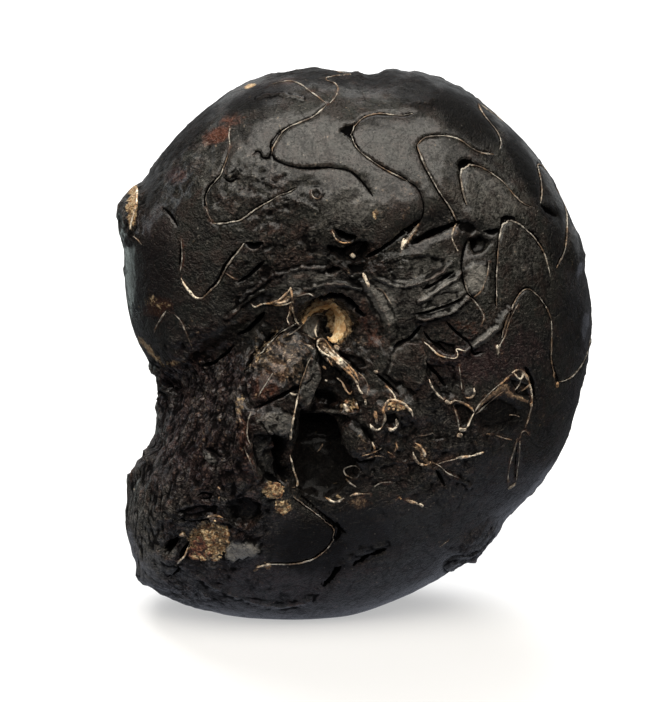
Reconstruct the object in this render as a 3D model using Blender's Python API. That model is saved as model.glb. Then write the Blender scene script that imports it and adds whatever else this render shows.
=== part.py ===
"""Goniatite: the dark stone mould of a coiled shell, standing on a worn flat of its last whorl.

Metres, +Z up, origin under the middle of the stone on the surface that it stands on. The coil's
axis runs along Y, and the front flank faces -Y. A turn is an angle round the coil in degrees, from
0 on the left (-X) over the top, the way the shell grew. A lean is an angle from the coil's axis,
in degrees: 0 in the umbilicus and 90 on the venter, the shell's outer rim. What is told as
(across, up) is in millimetres from the coil's axis, as seen square on from the front.
"""

import math
from typing import NamedTuple

import bmesh
import bpy
from mathutils import Vector, noise

MM = 0.001

# The coil.
VENTER_RADIUS = 22.4 * MM  # from the coil's axis to the rim, at turn 0
WHORL_GROWTH = 2.05  # how many times larger the rim's radius is a whole turn later
HALF_WIDTH = 15.8 * MM  # from the middle plane to the flank, at turn 0
WIDTH_GROWTH = 1.40
FULLNESS = 2.35  # of the whorl's section: 2 would be an ellipse, and more is squarer
SHOULDER_LEAN = 40.0
AXIS_ACROSS = -4.63 * MM  # the axis is left of the middle of the stone
AXIS_HEIGHT = 37.9 * MM  # above the surface that the stone stands on
MIDDLE_PLANE = 0.22 * MM  # the coil's middle plane, off the middle of the stone along Y

# The broken mouth: the last whorl ends in a rough neck, which leads to the whorl inside it.
MOUTH_BEGINS = 300.0
MOUTH_ENDS_ON_RIM = 329.0
MOUTH_ENDS_ON_FLANK = 352.0

# Unevenness of the stone.
SMOOTH_LUMPS = 0.10 * MM
ROUGH_LUMPS = 0.50 * MM
LUMP_SPACING = 4.2 * MM

# The mesh: a cube of this many cells an edge, blown up to the stone, with finer cells in front.
CELLS_ON_EDGE = 28
FRONT_BIAS = 0.22


class RimForm(NamedTuple):
    """A rise (or a dip, below 0) of the rim, centred at a turn."""

    turn: float
    spread: float
    height: float


class FlankForm(NamedTuple):
    """A lump (or a hollow, below 0) of the front flank: an oval, its long axis slant degrees up."""

    across: float
    up: float
    half_long: float
    half_short: float
    slant: float
    height: float
    steepness: float = 1.0


class Crease(NamedTuple):
    """A ridge (or a cleft, below 0) of the front flank, along points."""

    points: tuple
    half_width: float
    height: float


RIM_FORMS = {
    "sheet of shell left on the left limb": RimForm(24, 8, 1.25),
    "raised sheet over the top": RimForm(78, 12, 0.2),
    "dip behind the raised sheet": RimForm(101, 7, -0.9),
    "shoulder right of the top": RimForm(122, 11, 0.6),
    "upper right of the rim": RimForm(145, 20, 0.4),
    "lower right of the rim": RimForm(215, 9, 0.45),
    "flat before the knob": RimForm(230, 3.5, -0.45),
    "knob under the last chambers": RimForm(241, 4, 0.55),
    "swell of the belly": RimForm(264, 24, 1.0),
    "worn lip of the mouth": RimForm(303, 7, -0.5),
}

FLANK_FORMS = {
    "funnel of the umbilicus": FlankForm(0.4, -0.6, 3.1, 2.8, 0, -3.0, 2),
    "broken window": FlankForm(2.8, -9.8, 12.5, 9.5, 0, -1.5, 2),
    "cavity in the window": FlankForm(-0.6, -15.6, 5.2, 3.2, 80, -4.6, 2),
    "wedge left of the cavity": FlankForm(-4.6, -6.6, 5.4, 2.6, 60, 0.9),
    "fibrous lump": FlankForm(-5.8, -11.4, 2.0, 1.8, 0, 0.9),
    "lump right of the cavity": FlankForm(3.8, -14.2, 2.5, 2.2, 0, 1.9),
    "crystal crust": FlankForm(7.9, -10.8, 2.9, 2.2, 0, 1.1),
    "inner whorl under the umbilicus": FlankForm(6.6, -5.4, 3.2, 3.4, 0, 1.2),
    "inner whorl right of the window": FlankForm(12.2, -8.0, 2.6, 3.4, 0, 0.7),
    "floor below the crust": FlankForm(8.0, -17.5, 3.6, 1.6, 10, -0.5),
    "broken right flank": FlankForm(12.4, 1.6, 8.6, 6.6, 60, -0.9, 2),
    "hollow above the umbilicus": FlankForm(3.6, 8.1, 2.6, 1.2, 5, -1.3),
    "pit on the right": FlankForm(17.8, 9.0, 1.5, 1.1, 60, -1.2),
    "crystal pocket by the mouth": FlankForm(-13.2, -25.0, 2.9, 2.4, 40, -0.8, 2),
    "pit in the mouth's corner": FlankForm(-16.8, -26.2, 2.3, 1.2, 35, -1.6),
    "smooth facet by the pocket": FlankForm(-9.4, -25.4, 1.7, 1.6, 0, 0.5),
    "crystals on the window's sill": FlankForm(-5.6, -20.4, 2.4, 1.7, 80, 0.5),
    "pit near the foot": FlankForm(0.8, -29.6, 2.0, 1.0, 50, -0.9),
    "second pit near the foot": FlankForm(5.2, -27.2, 2.2, 0.9, 20, -0.6),
    "hollow of the neck": FlankForm(-15.6, -11.0, 6.0, 4.5, 75, -1.4),
    "bulge below the neck": FlankForm(-19.4, -21.0, 5.0, 3.4, 75, 0.9),
}

CREASES = {
    "ridge left of the window": Crease(
        ((-9.0, -6.0), (-9.8, -9.6), (-9.4, -13.0), (-8.6, -15.6), (-7.2, -18.6)), 1.5, 0.9
    ),
    "trench above the neck": Crease(((-13.8, -5.0), (-10.4, -2.8), (-7.0, 1.0)), 1.3, -1.2),
    "upper cleft": Crease(((8.8, 8.2), (10.0, 9.6), (12.0, 10.8), (14.8, 11.8)), 1.1, -1.3),
    "lower cleft": Crease(((5.0, 7.4), (7.2, 8.6), (10.6, 11.0)), 1.0, -0.7),
    "rim over the umbilicus": Crease(((-2.2, 2.0), (0.6, 3.6), (3.6, 2.6), (4.4, 0.4)), 1.1, 0.8),
    "shaft down from the umbilicus": Crease(((0.2, -3.4), (2.6, -5.6), (4.4, -9.0)), 1.1, 1.0),
    "upper septum of the right flank": Crease(((10.8, 0.4), (13.2, 1.2), (16.2, 3.2)), 1.0, 0.6),
    "lower septum of the right flank": Crease(((10.6, 3.2), (13.0, 4.4), (14.8, 5.6)), 1.0, 0.5),
    "dark cut under the inner whorl": Crease(((8.6, -6.4), (10.4, -8.2)), 1.0, -1.0),
    "dark cut in the right flank": Crease(((13.4, -4.2), (15.4, -8.8)), 1.0, -0.8),
}


def smooth(value):
    """0 below 0, 1 above 1, and an easy curve between them."""
    value = min(max(value, 0.0), 1.0)
    return value * value * (3 - 2 * value)


def mix(first, second, share):
    return first + (second - first) * share


def whorl_reach(turn, lean):
    """Distance from the coil's centre to the whorl's surface."""
    venter = VENTER_RADIUS * WHORL_GROWTH ** (turn / 360)
    shoulder = HALF_WIDTH * WIDTH_GROWTH ** (turn / 360)
    width = mix(HALF_WIDTH, shoulder, smooth(lean / SHOULDER_LEAN))
    across = math.sin(math.radians(lean)) / venter
    along = math.cos(math.radians(lean)) / width
    return (across**FULLNESS + along**FULLNESS) ** (-1 / FULLNESS)


def broken_share(turn, lean):
    """0 on the last whorl, 1 on the whorl inside it, and between them on the rough neck."""
    ends = mix(MOUTH_ENDS_ON_FLANK, MOUTH_ENDS_ON_RIM, smooth(lean / 80))
    return smooth((turn - MOUTH_BEGINS) / (ends - MOUTH_BEGINS))


def stone_reach(turn, lean):
    return mix(whorl_reach(turn, lean), whorl_reach(turn - 360, lean), broken_share(turn, lean))


def direction(turn, lean, side):
    """Unit vector from the coil's centre; side is -1 for the front flank and 1 for the back one."""
    turn, lean = math.radians(turn), math.radians(lean)
    out = math.sin(lean)
    return Vector((-math.cos(turn) * out, side * math.cos(lean), math.sin(turn) * out))


def shell_place(point):
    """(turn, lean, side) of a point round the coil's centre."""
    turn = math.degrees(math.atan2(point.z, -point.x)) % 360
    lean = math.degrees(math.atan2(math.hypot(point.x, point.z), abs(point.y)))
    return turn, lean, math.copysign(1, point.y)


def rim_height(turn, lean):
    """How far the rim's forms raise the surface."""
    height = 0.0
    for form in RIM_FORMS.values():
        off = (turn - form.turn + 180) % 360 - 180
        height += form.height * math.exp(-((off / form.spread) ** 2))
    return height * MM * smooth((lean - 48) / 30)


def oval_height(form, across, up):
    """How far one lump or hollow raises the surface."""
    slant = math.radians(form.slant)
    off_across, off_up = across - form.across, up - form.up
    along = off_across * math.cos(slant) + off_up * math.sin(slant)
    aside = off_up * math.cos(slant) - off_across * math.sin(slant)
    distance = (along / form.half_long) ** 2 + (aside / form.half_short) ** 2
    return form.height * math.exp(-(distance**form.steepness))


def crease_height(crease, across, up):
    """How far one ridge or cleft raises the surface."""
    here = Vector((across, up))
    nearest = math.inf
    for start, end in zip(crease.points, crease.points[1:]):
        start, end = Vector(start), Vector(end)
        run = end - start
        share = min(max((here - start).dot(run) / run.length_squared, 0.0), 1.0)
        nearest = min(nearest, (here - start - run * share).length)
    return crease.height * math.exp(-((nearest / crease.half_width) ** 2))


def flank_height(point, lean):
    """How far the front flank's forms raise the surface; they fade out round the rim."""
    across, up = point.x / MM, point.z / MM
    height = sum(oval_height(form, across, up) for form in FLANK_FORMS.values())
    height += sum(crease_height(crease, across, up) for crease in CREASES.values())
    return height * MM * (1 - smooth((lean - 72) / 18))


def back_height(point):
    """The hidden flank's forms: its umbilicus, and a shallow worn dish round it."""
    across, up = point.x / MM, point.z / MM
    funnel = oval_height(FlankForm(0, 0, 3.4, 3.2, 0, -2.6, 2), across, up)
    dish = oval_height(FlankForm(3.5, -9.0, 11.0, 8.0, 20, -1.0, 2), across, up)
    neck = oval_height(FlankForm(-15.0, -11.5, 6.0, 4.5, 75, -1.2), across, up)
    return (funnel + dish + neck) * MM


def lumps(place, share):
    """Natural unevenness, far rougher on the broken neck than on the moulded shell."""
    size = mix(SMOOTH_LUMPS, ROUGH_LUMPS, share)
    coarse = noise.noise(place / LUMP_SPACING)
    fine = noise.noise(place / (0.5 * LUMP_SPACING) + Vector((7, 3, 5)))
    return size * (coarse + 0.5 * fine)


def roughness_share(turn, lean, point, side):
    """1 where the stone is broken: on the neck, and in the window of the front flank."""
    share = broken_share(turn, lean)
    neck = min(1.0, 4.5 * share * (1 - share))
    window = 0.0
    if side < 0:
        window = -oval_height(FLANK_FORMS["broken window"], point.x / MM, point.z / MM) / 1.5
    return min(1.0, max(neck, 0.7 * window))


def stone_point(toward):
    """The place on the stone that lies in a direction from the coil's centre."""
    turn, lean, side = shell_place(toward)
    base = direction(turn, lean, side) * stone_reach(turn, lean)
    height = rim_height(turn, lean)
    if side < 0:
        height += flank_height(base, lean)
    else:
        height += back_height(base)
    height += lumps(base, roughness_share(turn, lean, base, side))
    return base + base.normalized() * height + Vector((AXIS_ACROSS, MIDDLE_PLANE, AXIS_HEIGHT))


def ironstone():
    """Dark, brownish grey mineral, worn to a low shine."""
    material = bpy.data.materials.new("ironstone")
    material.use_nodes = True
    shader = material.node_tree.nodes["Principled BSDF"]
    shader.inputs["Base Color"].default_value = (0.028, 0.025, 0.024, 1)
    shader.inputs["Roughness"].default_value = 0.45
    shader.inputs["Metallic"].default_value = 0.0
    return material


def make_stone():
    shell = bmesh.new()
    bmesh.ops.create_cube(shell, size=2)
    bmesh.ops.subdivide_edges(
        shell, edges=shell.edges[:], cuts=CELLS_ON_EDGE - 1, use_grid_fill=True
    )
    for vertex in shell.verts:
        even = Vector([math.tan(part * math.pi / 4) for part in vertex.co]).normalized()
        vertex.co = stone_point(even + Vector((0, -FRONT_BIAS, 0)))
    stand_on_flat(shell)
    mesh = bpy.data.meshes.new("goniatite")
    shell.to_mesh(mesh)
    shell.free()
    mesh.shade_smooth()
    mesh.set_sharp_from_angle(angle=math.radians(50))
    mesh.materials.append(ironstone())
    stone = bpy.data.objects.new("goniatite", mesh)
    bpy.context.scene.collection.objects.link(stone)
    return stone


def stand_on_flat(shell):
    """Cuts the stone off at the surface that it stands on, and closes the cut with one flat face."""
    everything = shell.verts[:] + shell.edges[:] + shell.faces[:]
    cut = bmesh.ops.bisect_plane(
        shell, geom=everything, dist=1e-6, plane_co=(0, 0, 0), plane_no=(0, 0, 1), clear_inner=True
    )
    rim = [e for e in cut["geom_cut"] if isinstance(e, bmesh.types.BMEdge)]
    bmesh.ops.contextual_create(shell, geom=rim)
    bmesh.ops.recalc_face_normals(shell, faces=shell.faces)


def main():
    for old in list(bpy.data.objects):
        bpy.data.objects.remove(old)
    make_stone()


main()
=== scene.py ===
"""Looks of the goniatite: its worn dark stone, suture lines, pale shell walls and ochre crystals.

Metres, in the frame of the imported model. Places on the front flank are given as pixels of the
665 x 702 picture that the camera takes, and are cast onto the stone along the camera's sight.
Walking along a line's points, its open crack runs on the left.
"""

import math
import random

import bmesh
import bpy
import numpy as np
from mathutils import Matrix, Vector, noise
from mathutils.bvhtree import BVHTree
from mathutils.kdtree import KDTree


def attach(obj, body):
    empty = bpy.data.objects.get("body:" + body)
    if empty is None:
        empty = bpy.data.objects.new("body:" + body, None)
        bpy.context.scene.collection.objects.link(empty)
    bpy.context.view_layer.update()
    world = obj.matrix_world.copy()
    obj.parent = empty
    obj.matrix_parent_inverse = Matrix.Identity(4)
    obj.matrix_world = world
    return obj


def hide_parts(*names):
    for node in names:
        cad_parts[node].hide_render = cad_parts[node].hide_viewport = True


MM = 0.001

# The camera.
PICTURE_WIDTH = 665
PICTURE_HEIGHT = 702
VIEW_AZIMUTH = -3.0
VIEW_ELEVATION = 12.5
VIEW_DISTANCE = 450 * MM
VIEW_TARGET = Vector((-2.74, -0.32, 30.92)) * MM
PIXELS_PER_METRE = 8470.0
SENSOR = 36.0

# The coil, as in the solid: its axis runs along Y, and the shell is alike on both sides of its
# middle plane.
AXIS_X = -4.63 * MM
AXIS_Z = 37.9 * MM
MIDDLE_Y = 0.22 * MM

# Lines on the stone. A line drawn through corners gets a point for every pixel of its run.
PALE_HALF_WIDTH = 0.090 * MM
CRACK_HALF_WIDTH = 0.165 * MM
CRACK_OFFSET = 0.065 * MM  # from the middle of a suture's pale wall to the middle of its crack
CRACK_TAPER = 6  # points over which a crack thins out to its end
CRACK_WANDER = 1.6 * MM  # spacing of a crack's wider and narrower stretches
SUTURE_DEPTH = 0.28 * MM
CROSSING_DEPTH = 0.22 * MM
GROOVE_REACH = 0.36 * MM  # far enough from a suture's middle to be out of its groove
CROSSING_STEPS = 60
CROSSING_NOTCH = (0.5, 0.07)  # in the middle of the back's lobe: share of the lobe, half width
OUTSIDE = 60 * MM  # from the coil's axis, clear of the stone
BAR_SHARE = 0.85  # of a bar's half width as listed
WORN_SHARE = 0.75  # of a wall's thickness, where it is worn away
FAR_SHARE = 0.9  # the same, behind
VEIN_SHARE = 0.85  # the same, of a vein
WALL_SWELLS = ((0.8 * MM, 0.5), (2.6 * MM, 0.7), (0.35 * MM, 0.35))  # spacing, share of the wall
THINNEST_WALL = 0.22  # of its thickness
SUTURE_PROUD = -0.35  # of a wall's radius that its middle stands above the stone
BAR_PROUD = 0.10
VEIN_PROUD = 0.35

# Unevenness of the skin, as noise: spacing, octaves and shift.
SWELLS = (1.9 * MM, 3, 3.0)
LUMP_GRAIN = (0.6 * MM, 3, 29.0)
WAVES = (3.2 * MM, 2, 71.0)
CRINKLES = (1.5 * MM, 3, 83.0)
HIDDEN_BREAKS = (11 * MM, 3, 5.0)
CRUST_GRAIN = (0.35 * MM, 2, 91.0)
# Wandering of the patches' edges, and of the outlines of plates and crests: the same.
WANDER = (2.2 * MM, 3, 11.0)
FINE_WANDER = (0.8 * MM, 2, 47.0)
FAR_WANDER = (2.2 * MM, 3, 61.0)
SHAKE = (2.0 * MM, 3, 53.0)
FINE_SHAKE = (0.7 * MM, 2, 59.0)

# Relief of the skin, where it is broken and where it is whole.
SWELL_HEIGHT = 0.50 * MM
LUMP_HEIGHT = 0.10 * MM
WAVE_HEIGHT = 0.30 * MM
CRINKLE_HEIGHT = 0.13 * MM
CRINKLE_SHARPNESS = 3.2
WORN_LUMP_HEIGHT = 0.03 * MM
WORN_WAVE_HEIGHT = 0.09 * MM
STREAK_HEIGHT = 0.34 * MM  # where the streaks are a millimetre apart
STREAK_LENGTH = 3.2  # in their spacing
STREAK_SHIFT = 17.0  # of their noise
MEAN_SWELL = 0.45  # of billows
PILLOW_HEIGHT = 0.10 * MM  # of a chamber above its suture
PILLOW_REACH = 0.45 * MM
OUTLINE_SHAKE = 1.6  # pixels that the outline of a plate or crest wanders
STAIN_REACH = 0.34 * MM  # of rust next to a vein or bar
STAIN_STRENGTH = 0.55
BASE_FADE = 1.2 * MM  # the relief fades out down to the surface that the stone stands on

# Where the skin is cut finer: this broken (of 1), or this near a crack.
FINE_BREAK = 0.92
FINE_REACH = 1.2 * MM
FINEST_BREAK = 0.745
FINEST_REACH = 0.46 * MM
FINEST_REACH_BEHIND = 0.36 * MM

# Crusts.
CRUST_CELL = 0.08 * MM
CRUST_GRAIN_HEIGHT = 0.05 * MM
CRUST_SEED = 1836
# The crystals of the mouth's pocket are rusty left of a slanting line (its pixels across at the
# top, and for each pixel down), as far down as this.
RUSTY_START = -95
RUSTY_SLOPE = 0.55
RUSTY_FOOT = 556

# Sutures: a pale wall standing in a groove, which is wider on its left side; the groove is painted
# black as shade.
SUTURES = {
    "first limb": ((272, 154), (273, 147), (277, 139), (283, 131), (290, 126), (300, 122),
                   (312, 117), (321, 110), (327, 104)),
    "second saddle": ((351, 134), (355, 126), (361, 119), (368, 115), (378, 113), (390, 114),
                      (403, 115), (413, 113)),
    "second limb": ((352, 134), (354, 143), (361, 152), (370, 159), (380, 166), (390, 172),
                    (400, 177), (408, 181)),
    "third limb": ((457, 222), (451, 209), (439, 191), (427, 169), (420, 153), (417, 145)),
    "third saddle": ((417, 145), (424, 138), (433, 136), (448, 136), (461, 140), (472, 148),
                     (483, 153), (494, 154)),
    "third saddle's tip": ((500, 149), (502, 142), (498, 132), (490, 122), (483, 112), (479, 103)),
    "fourth saddle": ((467, 205), (463, 190), (461, 175), (464, 168), (470, 165), (481, 167),
                      (492, 173), (504, 182), (513, 193), (522, 202), (532, 207)),
    "fourth saddle's tip": ((541, 203), (543, 192), (541, 178), (538, 165)),
    "fifth saddle": ((497, 306), (497, 295), (497, 280), (498, 262), (499, 247), (501, 232),
                     (504, 224), (509, 221), (515, 222), (521, 225), (527, 230), (533, 236),
                     (539, 244), (545, 254), (548, 265), (551, 278)),
    "outer saddle": ((557, 268), (561, 262), (565, 252), (567, 241), (568, 230), (568, 220),
                     (566, 209), (562, 198), (556, 187)),
    "sixth saddle": ((502, 338), (505, 326), (508, 316), (513, 306), (518, 297), (523, 291),
                     (529, 289), (535, 293), (541, 299), (547, 308), (551, 318), (552, 330),
                     (552, 345), (552, 360), (554, 372), (556, 382)),
    "upper left limb": ((207, 206), (206, 197), (209, 190), (215, 182), (220, 176), (223, 169),
                        (226, 162), (228, 154)),
    "upper left lobe": ((212, 223), (220, 224), (231, 222), (241, 220), (250, 213), (259, 207),
                        (268, 202), (278, 196), (287, 193), (296, 188)),
    "left limb's lobe": ((201, 299), (207, 294), (213, 289), (219, 283), (223, 275), (228, 266),
                         (233, 259), (238, 252), (244, 243)),
    "lower bead line": ((266, 565), (282, 565), (298, 564), (313, 560), (326, 551),
                        (333, 541), (334, 529), (323, 519), (309, 508), (294, 497)),
    "face's outer edge": ((246, 375), (253, 366), (262, 353), (273, 341), (285, 330), (299, 322)),
}

# Sutures whose pale rim is worn away in long stretches.
WORN_SUTURES = ("first limb", "second saddle", "second limb", "upper left limb",
                "face's outer edge", "lower bead line")
# Lines whose last point runs on over the shell's back to its twin on the far flank, and how far
# the lobe there dips (degrees about the coil).
CROSSINGS = {"third saddle's tip": -9.0, "fourth saddle's tip": -4.0, "outer saddle": -11.0,
             "sheet's far edge": -8.0, "sixth saddle": 10.0}
# Lines of the front alone, round its broken face.
FRONT_ONLY = ("lower bead line", "face's outer edge")

# Thin pale veins and edges of shell walls, with no crack.
VEINS = {
    "sheet's edge": ((326, 103), (318, 97), (308, 90), (300, 84), (288, 81), (272, 84)),
    "sheet's far edge": ((330, 103), (336, 96), (338, 88), (334, 83), (326, 80)),
    "left limb's beads": ((181, 238), (182, 250), (182, 262), (180, 272)),
    "chamber line": ((174, 314), (180, 320), (185, 330), (189, 340), (193, 349)),
    "short chamber line": ((154, 333), (158, 324), (166, 311)),
    "upper left stem": ((228, 154), (230, 146), (229, 136), (230, 128)),
    "lobe's start": ((206, 208), (208, 214), (212, 222)),
    "short umbilical line": ((273, 373), (268, 381), (262, 390), (258, 397)),
    "face's white line": ((311, 357), (308, 363), (305, 372), (301, 382), (299, 392)),
    "vein over the rim": ((295, 297), (303, 295), (309, 294), (315, 297)),
    "pit's inner rim": ((304, 323), (310, 317), (318, 314), (326, 316)),
    "line under the face": ((251, 446), (247, 436), (248, 422), (251, 412)),
    "second line of the face": ((289, 335), (294, 332), (299, 328), (303, 323)),
    "pale twin of the strut": ((358, 372), (364, 378), (368, 386), (367, 395)),
    "branch on the right": ((468, 296), (473, 300), (478, 306), (482, 312), (484, 318), (481, 326)),
    "facet's edge": ((464, 278), (467, 289), (471, 296)),
    "seventh limb, upper": ((474, 413), (480, 404), (487, 396), (494, 389), (500, 384),
                            (505, 379), (512, 374)),
    "seventh limb, lower": ((476, 414), (484, 407), (492, 400), (498, 395), (504, 391)),
    "v of the root, left": ((453, 405), (456, 413), (458, 421), (459, 428)),
    "beads on the right": ((459, 366), (460, 373), (461, 381), (462, 390)),
    "lens, left": ((518, 437), (514, 450), (510, 464), (508, 478), (509, 488)),
    "lens, right": ((520, 440), (519, 458), (517, 474), (516, 482)),
    "loop over the lens": ((520, 438), (522, 432), (526, 431), (530, 436)),
    "seventh saddle, foot": ((532, 404), (530, 412), (528, 420), (525, 428)),
    "net in the saddle": ((515, 390), (519, 385), (521, 380)),
    "second net in the saddle": ((521, 391), (526, 388), (530, 384)),
    "dashes in the cell": ((509, 415), (514, 415), (520, 417)),
    "line by the lens": ((495, 435), (503, 438), (512, 440)),
    "sixth saddle's foot": ((499, 352), (500, 345), (505, 336), (508, 325), (513, 313), (519, 303)),
    "sill, upper": ((374, 487), (381, 483), (391, 482)),
    "floor root": ((431, 462), (438, 465), (443, 469), (447, 473), (453, 476), (459, 478)),
    "floor root, upper": ((438, 464), (447, 461), (456, 459), (461, 456)),
    "short line on the belt": ((418, 436), (427, 435), (433, 433)),
    "neck line": ((244, 447), (248, 456), (252, 466), (255, 476)),
    "left streak's foot": ((133, 236), (138, 240), (142, 245)),
    "line behind the umbilicus": ((376, 288), (382, 290), (387, 297), (392, 305)),
    "short fold line": ((224, 272), (230, 276), (236, 280)),
    "rim of the little ring": ((311, 192), (313, 197), (318, 199), (321, 196)),
    "spiral": ((352, 478), (346, 475), (344, 470), (348, 467), (356, 466), (360, 470)),
    "spiral's tail": ((346, 479), (350, 483), (356, 487)),
    "belly line": ((440, 547), (445, 543), (449, 540)),
    "window's scratch": ((317, 452), (320, 449), (323, 444)),
    "second facet edge": ((489, 262), (487, 276), (481, 291), (474, 297)),
}

# Thick bars and beads of pale shell: half width (pixels), then the points.
BARS = {
    "strut, upper edge": (1.3, ((326, 341), (333, 351), (341, 359), (349, 366), (355, 373),
                                (359, 381))),
    "strut, lower edge": (1.5, ((317, 346), (322, 352), (329, 356), (338, 363), (346, 370),
                                (353, 377), (357, 383), (359, 389))),
    "strut, middle": (2.5, ((323, 346), (330, 353), (338, 360), (346, 367), (352, 373))),
    "strut's head": (1.3, ((317, 346), (318, 341), (322, 339), (326, 341))),
    "strut's foot": (1.4, ((357, 384), (360, 391), (363, 394))),
    "second strut": (1.3, ((337, 378), (342, 382), (346, 390), (350, 394), (352, 391))),
    "short bar": (1.7, ((327, 358), (330, 362), (333, 366))),
    "shorter bar": (1.9, ((323, 366), (326, 369))),
    "left stub": (1.6, ((304, 344), (309, 346), (313, 349))),
    "upper left stub": (0.9, ((308, 335), (312, 338), (315, 339))),
    "pit's stick": (1.1, ((318, 320), (316, 327), (315, 332), (317, 337))),
    "pink nub": (2.3, ((335, 346), (339, 349))),
    "dot by the struts": (1.2, ((325, 380), (327, 381))),
    "white speck": (1.7, ((374, 371), (378, 372))),
    "vein's upper side": (1.2, ((251, 304), (255, 307), (262, 304), (272, 303), (280, 299),
                                (287, 293), (291, 287))),
    "vein's lower side": (1.3, ((272, 304), (280, 305), (287, 304), (292, 302))),
    "vein's fill": (1.9, ((273, 303), (280, 303), (287, 301), (290, 298))),
    "vein's tip": (1.5, ((291, 288), (292, 296), (293, 303))),
    "vein to the pit": (1.1, ((292, 307), (294, 315), (296, 321), (299, 325))),
    "vein's left foot": (0.8, ((290, 306), (289, 314), (287, 319), (290, 326))),
    "long white line": (1.2, ((299, 392), (297, 401), (295, 410), (293, 420), (291, 430))),
    "long white line, middle": (1.6, ((291, 429), (290, 440))),
    "long white line, foot": (1.1, ((290, 455), (292, 464), (294, 472), (297, 480), (297, 486),
                                    (292, 488))),
    "left limb's band": (1.5, ((181, 278), (184, 284), (190, 292), (196, 298), (202, 298))),
    "cleft's wedge": (1.3, ((419, 224), (413, 232), (408, 238))),
    "cleft's wedge, foot": (2.3, ((408, 238), (405, 243), (403, 249))),
    "cleft's wedge, side": (1.6, ((404, 238), (402, 245), (402, 250))),
    "third limb's foot": (1.4, ((457, 223), (453, 231), (452, 238))),
    "third limb's thread": (0.9, ((452, 238), (454, 244), (458, 251))),
    "crescent": (1.3, ((332, 231), (336, 239), (343, 243), (352, 242))),
    "cavity's bead": (2.2, ((351, 254), (354, 257))),
    "horn": (1.7, ((363, 273), (366, 280), (369, 287))),
    "hook": (1.0, ((424, 342), (430, 347), (436, 353), (441, 356), (450, 358), (456, 358),
                   (458, 354), (456, 349), (461, 350), (466, 351))),
    "ridge's knob": (1.7, ((497, 345), (498, 350), (498, 355))),
    "arc on the right": (0.9, ((429, 379), (432, 387), (438, 395), (444, 400))),
    "arc's knot": (2.0, ((445, 401), (450, 403), (454, 401))),
    "arc's right": (1.2, ((454, 400), (463, 403), (470, 407), (474, 412))),
    "v of the root, right": (1.0, ((474, 413), (471, 419), (468, 426), (465, 429))),
    "v's knot": (1.9, ((459, 429), (463, 430), (466, 429))),
    "knot under it": (2.2, ((457, 436), (460, 435), (462, 434))),
    "disc's rim": (1.4, ((465, 397), (470, 398), (474, 394), (474, 388))),
    "seventh saddle's ring": (1.7, ((512, 373), (517, 370), (522, 371), (526, 376), (529, 382))),
    "ring's inner loop": (1.4, ((514, 373), (518, 378), (521, 379), (523, 374), (520, 371))),
    "seventh saddle's side": (1.1, ((529, 382), (531, 390), (532, 398), (532, 404))),
    "side's knot": (1.8, ((531, 403), (531, 406))),
    "limb's bright edge": (1.5, ((500, 385), (505, 380), (509, 377))),
    "sixth saddle's bulb": (2.3, ((557, 382), (557, 387))),
    "lens' tip": (1.9, ((508, 489), (512, 486), (516, 483))),
    "line by the lens, knot": (1.5, ((486, 434), (490, 434))),
    "belt's bar": (1.5, ((456, 458), (464, 457), (472, 456))),
    "belt's bar, end": (2.3, ((472, 456), (478, 454), (484, 452))),
    "right blob": (2.1, ((415, 443), (420, 446), (424, 452), (425, 457))),
    "right blob's ring": (1.5, ((413, 452), (415, 459), (420, 464), (427, 465), (431, 462))),
    "lower bar": (1.7, ((406, 500), (412, 502), (418, 504))),
    "lower bar's knob": (2.2, ((419, 504), (423, 506))),
    "lower bar's start": (1.5, ((399, 497), (401, 499))),
    "sill": (1.5, ((325, 497), (331, 501), (337, 502), (344, 498))),
    "pink patch's edge": (1.2, ((350, 496), (356, 494), (364, 494), (370, 494))),
    "frill, left": (2.0, ((375, 411), (376, 418), (377, 424))),
    "frill, foot": (1.8, ((370, 424), (373, 429), (378, 430), (382, 427))),
    "frill, middle": (1.5, ((382, 427), (385, 418), (383, 410), (386, 404))),
    "frill's curl": (1.7, ((387, 427), (392, 430), (397, 426), (396, 419))),
    "frill's crest": (1.7, ((384, 405), (390, 400), (397, 401), (405, 405), (411, 411),
                            (413, 417))),
    "frill's peak": (1.9, ((390, 397), (393, 402))),
    "frill's back": (1.2, ((385, 385), (389, 389), (394, 395), (396, 402))),
    "frill by the flap": (2.0, ((344, 404), (347, 410), (350, 411))),
    "frill by the strut": (1.3, ((356, 403), (358, 409))),
    "frill's right": (1.3, ((365, 399), (366, 405))),
    "lump's frill": (1.5, ((372, 442), (375, 449))),
    "lump's foot": (1.1, ((362, 456), (372, 453), (382, 448))),
    "lump's second foot": (1.0, ((365, 459), (376, 456), (384, 457))),
    "belt specks": (1.3, ((396, 442), (397, 448), (394, 452))),
    "belt specks, low": (1.0, ((388, 452), (393, 455))),
    "left streak": (1.5, ((137, 187), (137, 196), (136, 206), (133, 216), (131, 225),
                          (130, 230))),
    "crystals' lip": (1.4, ((177, 564), (181, 560), (185, 555), (188, 548), (191, 541))),
    "bead in the mouth": (2.2, ((181, 535), (184, 534))),
    "mouth's thread": (1.0, ((205, 518), (211, 516), (218, 516), (223, 518))),
    "neck's dots": (1.3, ((218, 487), (220, 489))),
    "neck's lower dots": (1.3, ((219, 497), (219, 501))),
    "lower line's tip": (1.7, ((256, 568), (262, 566), (271, 564))),
    "lower line's root": (1.1, ((254, 571), (258, 569))),
    "face's bar": (1.2, ((290, 393), (294, 395), (298, 394))),
}

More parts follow.
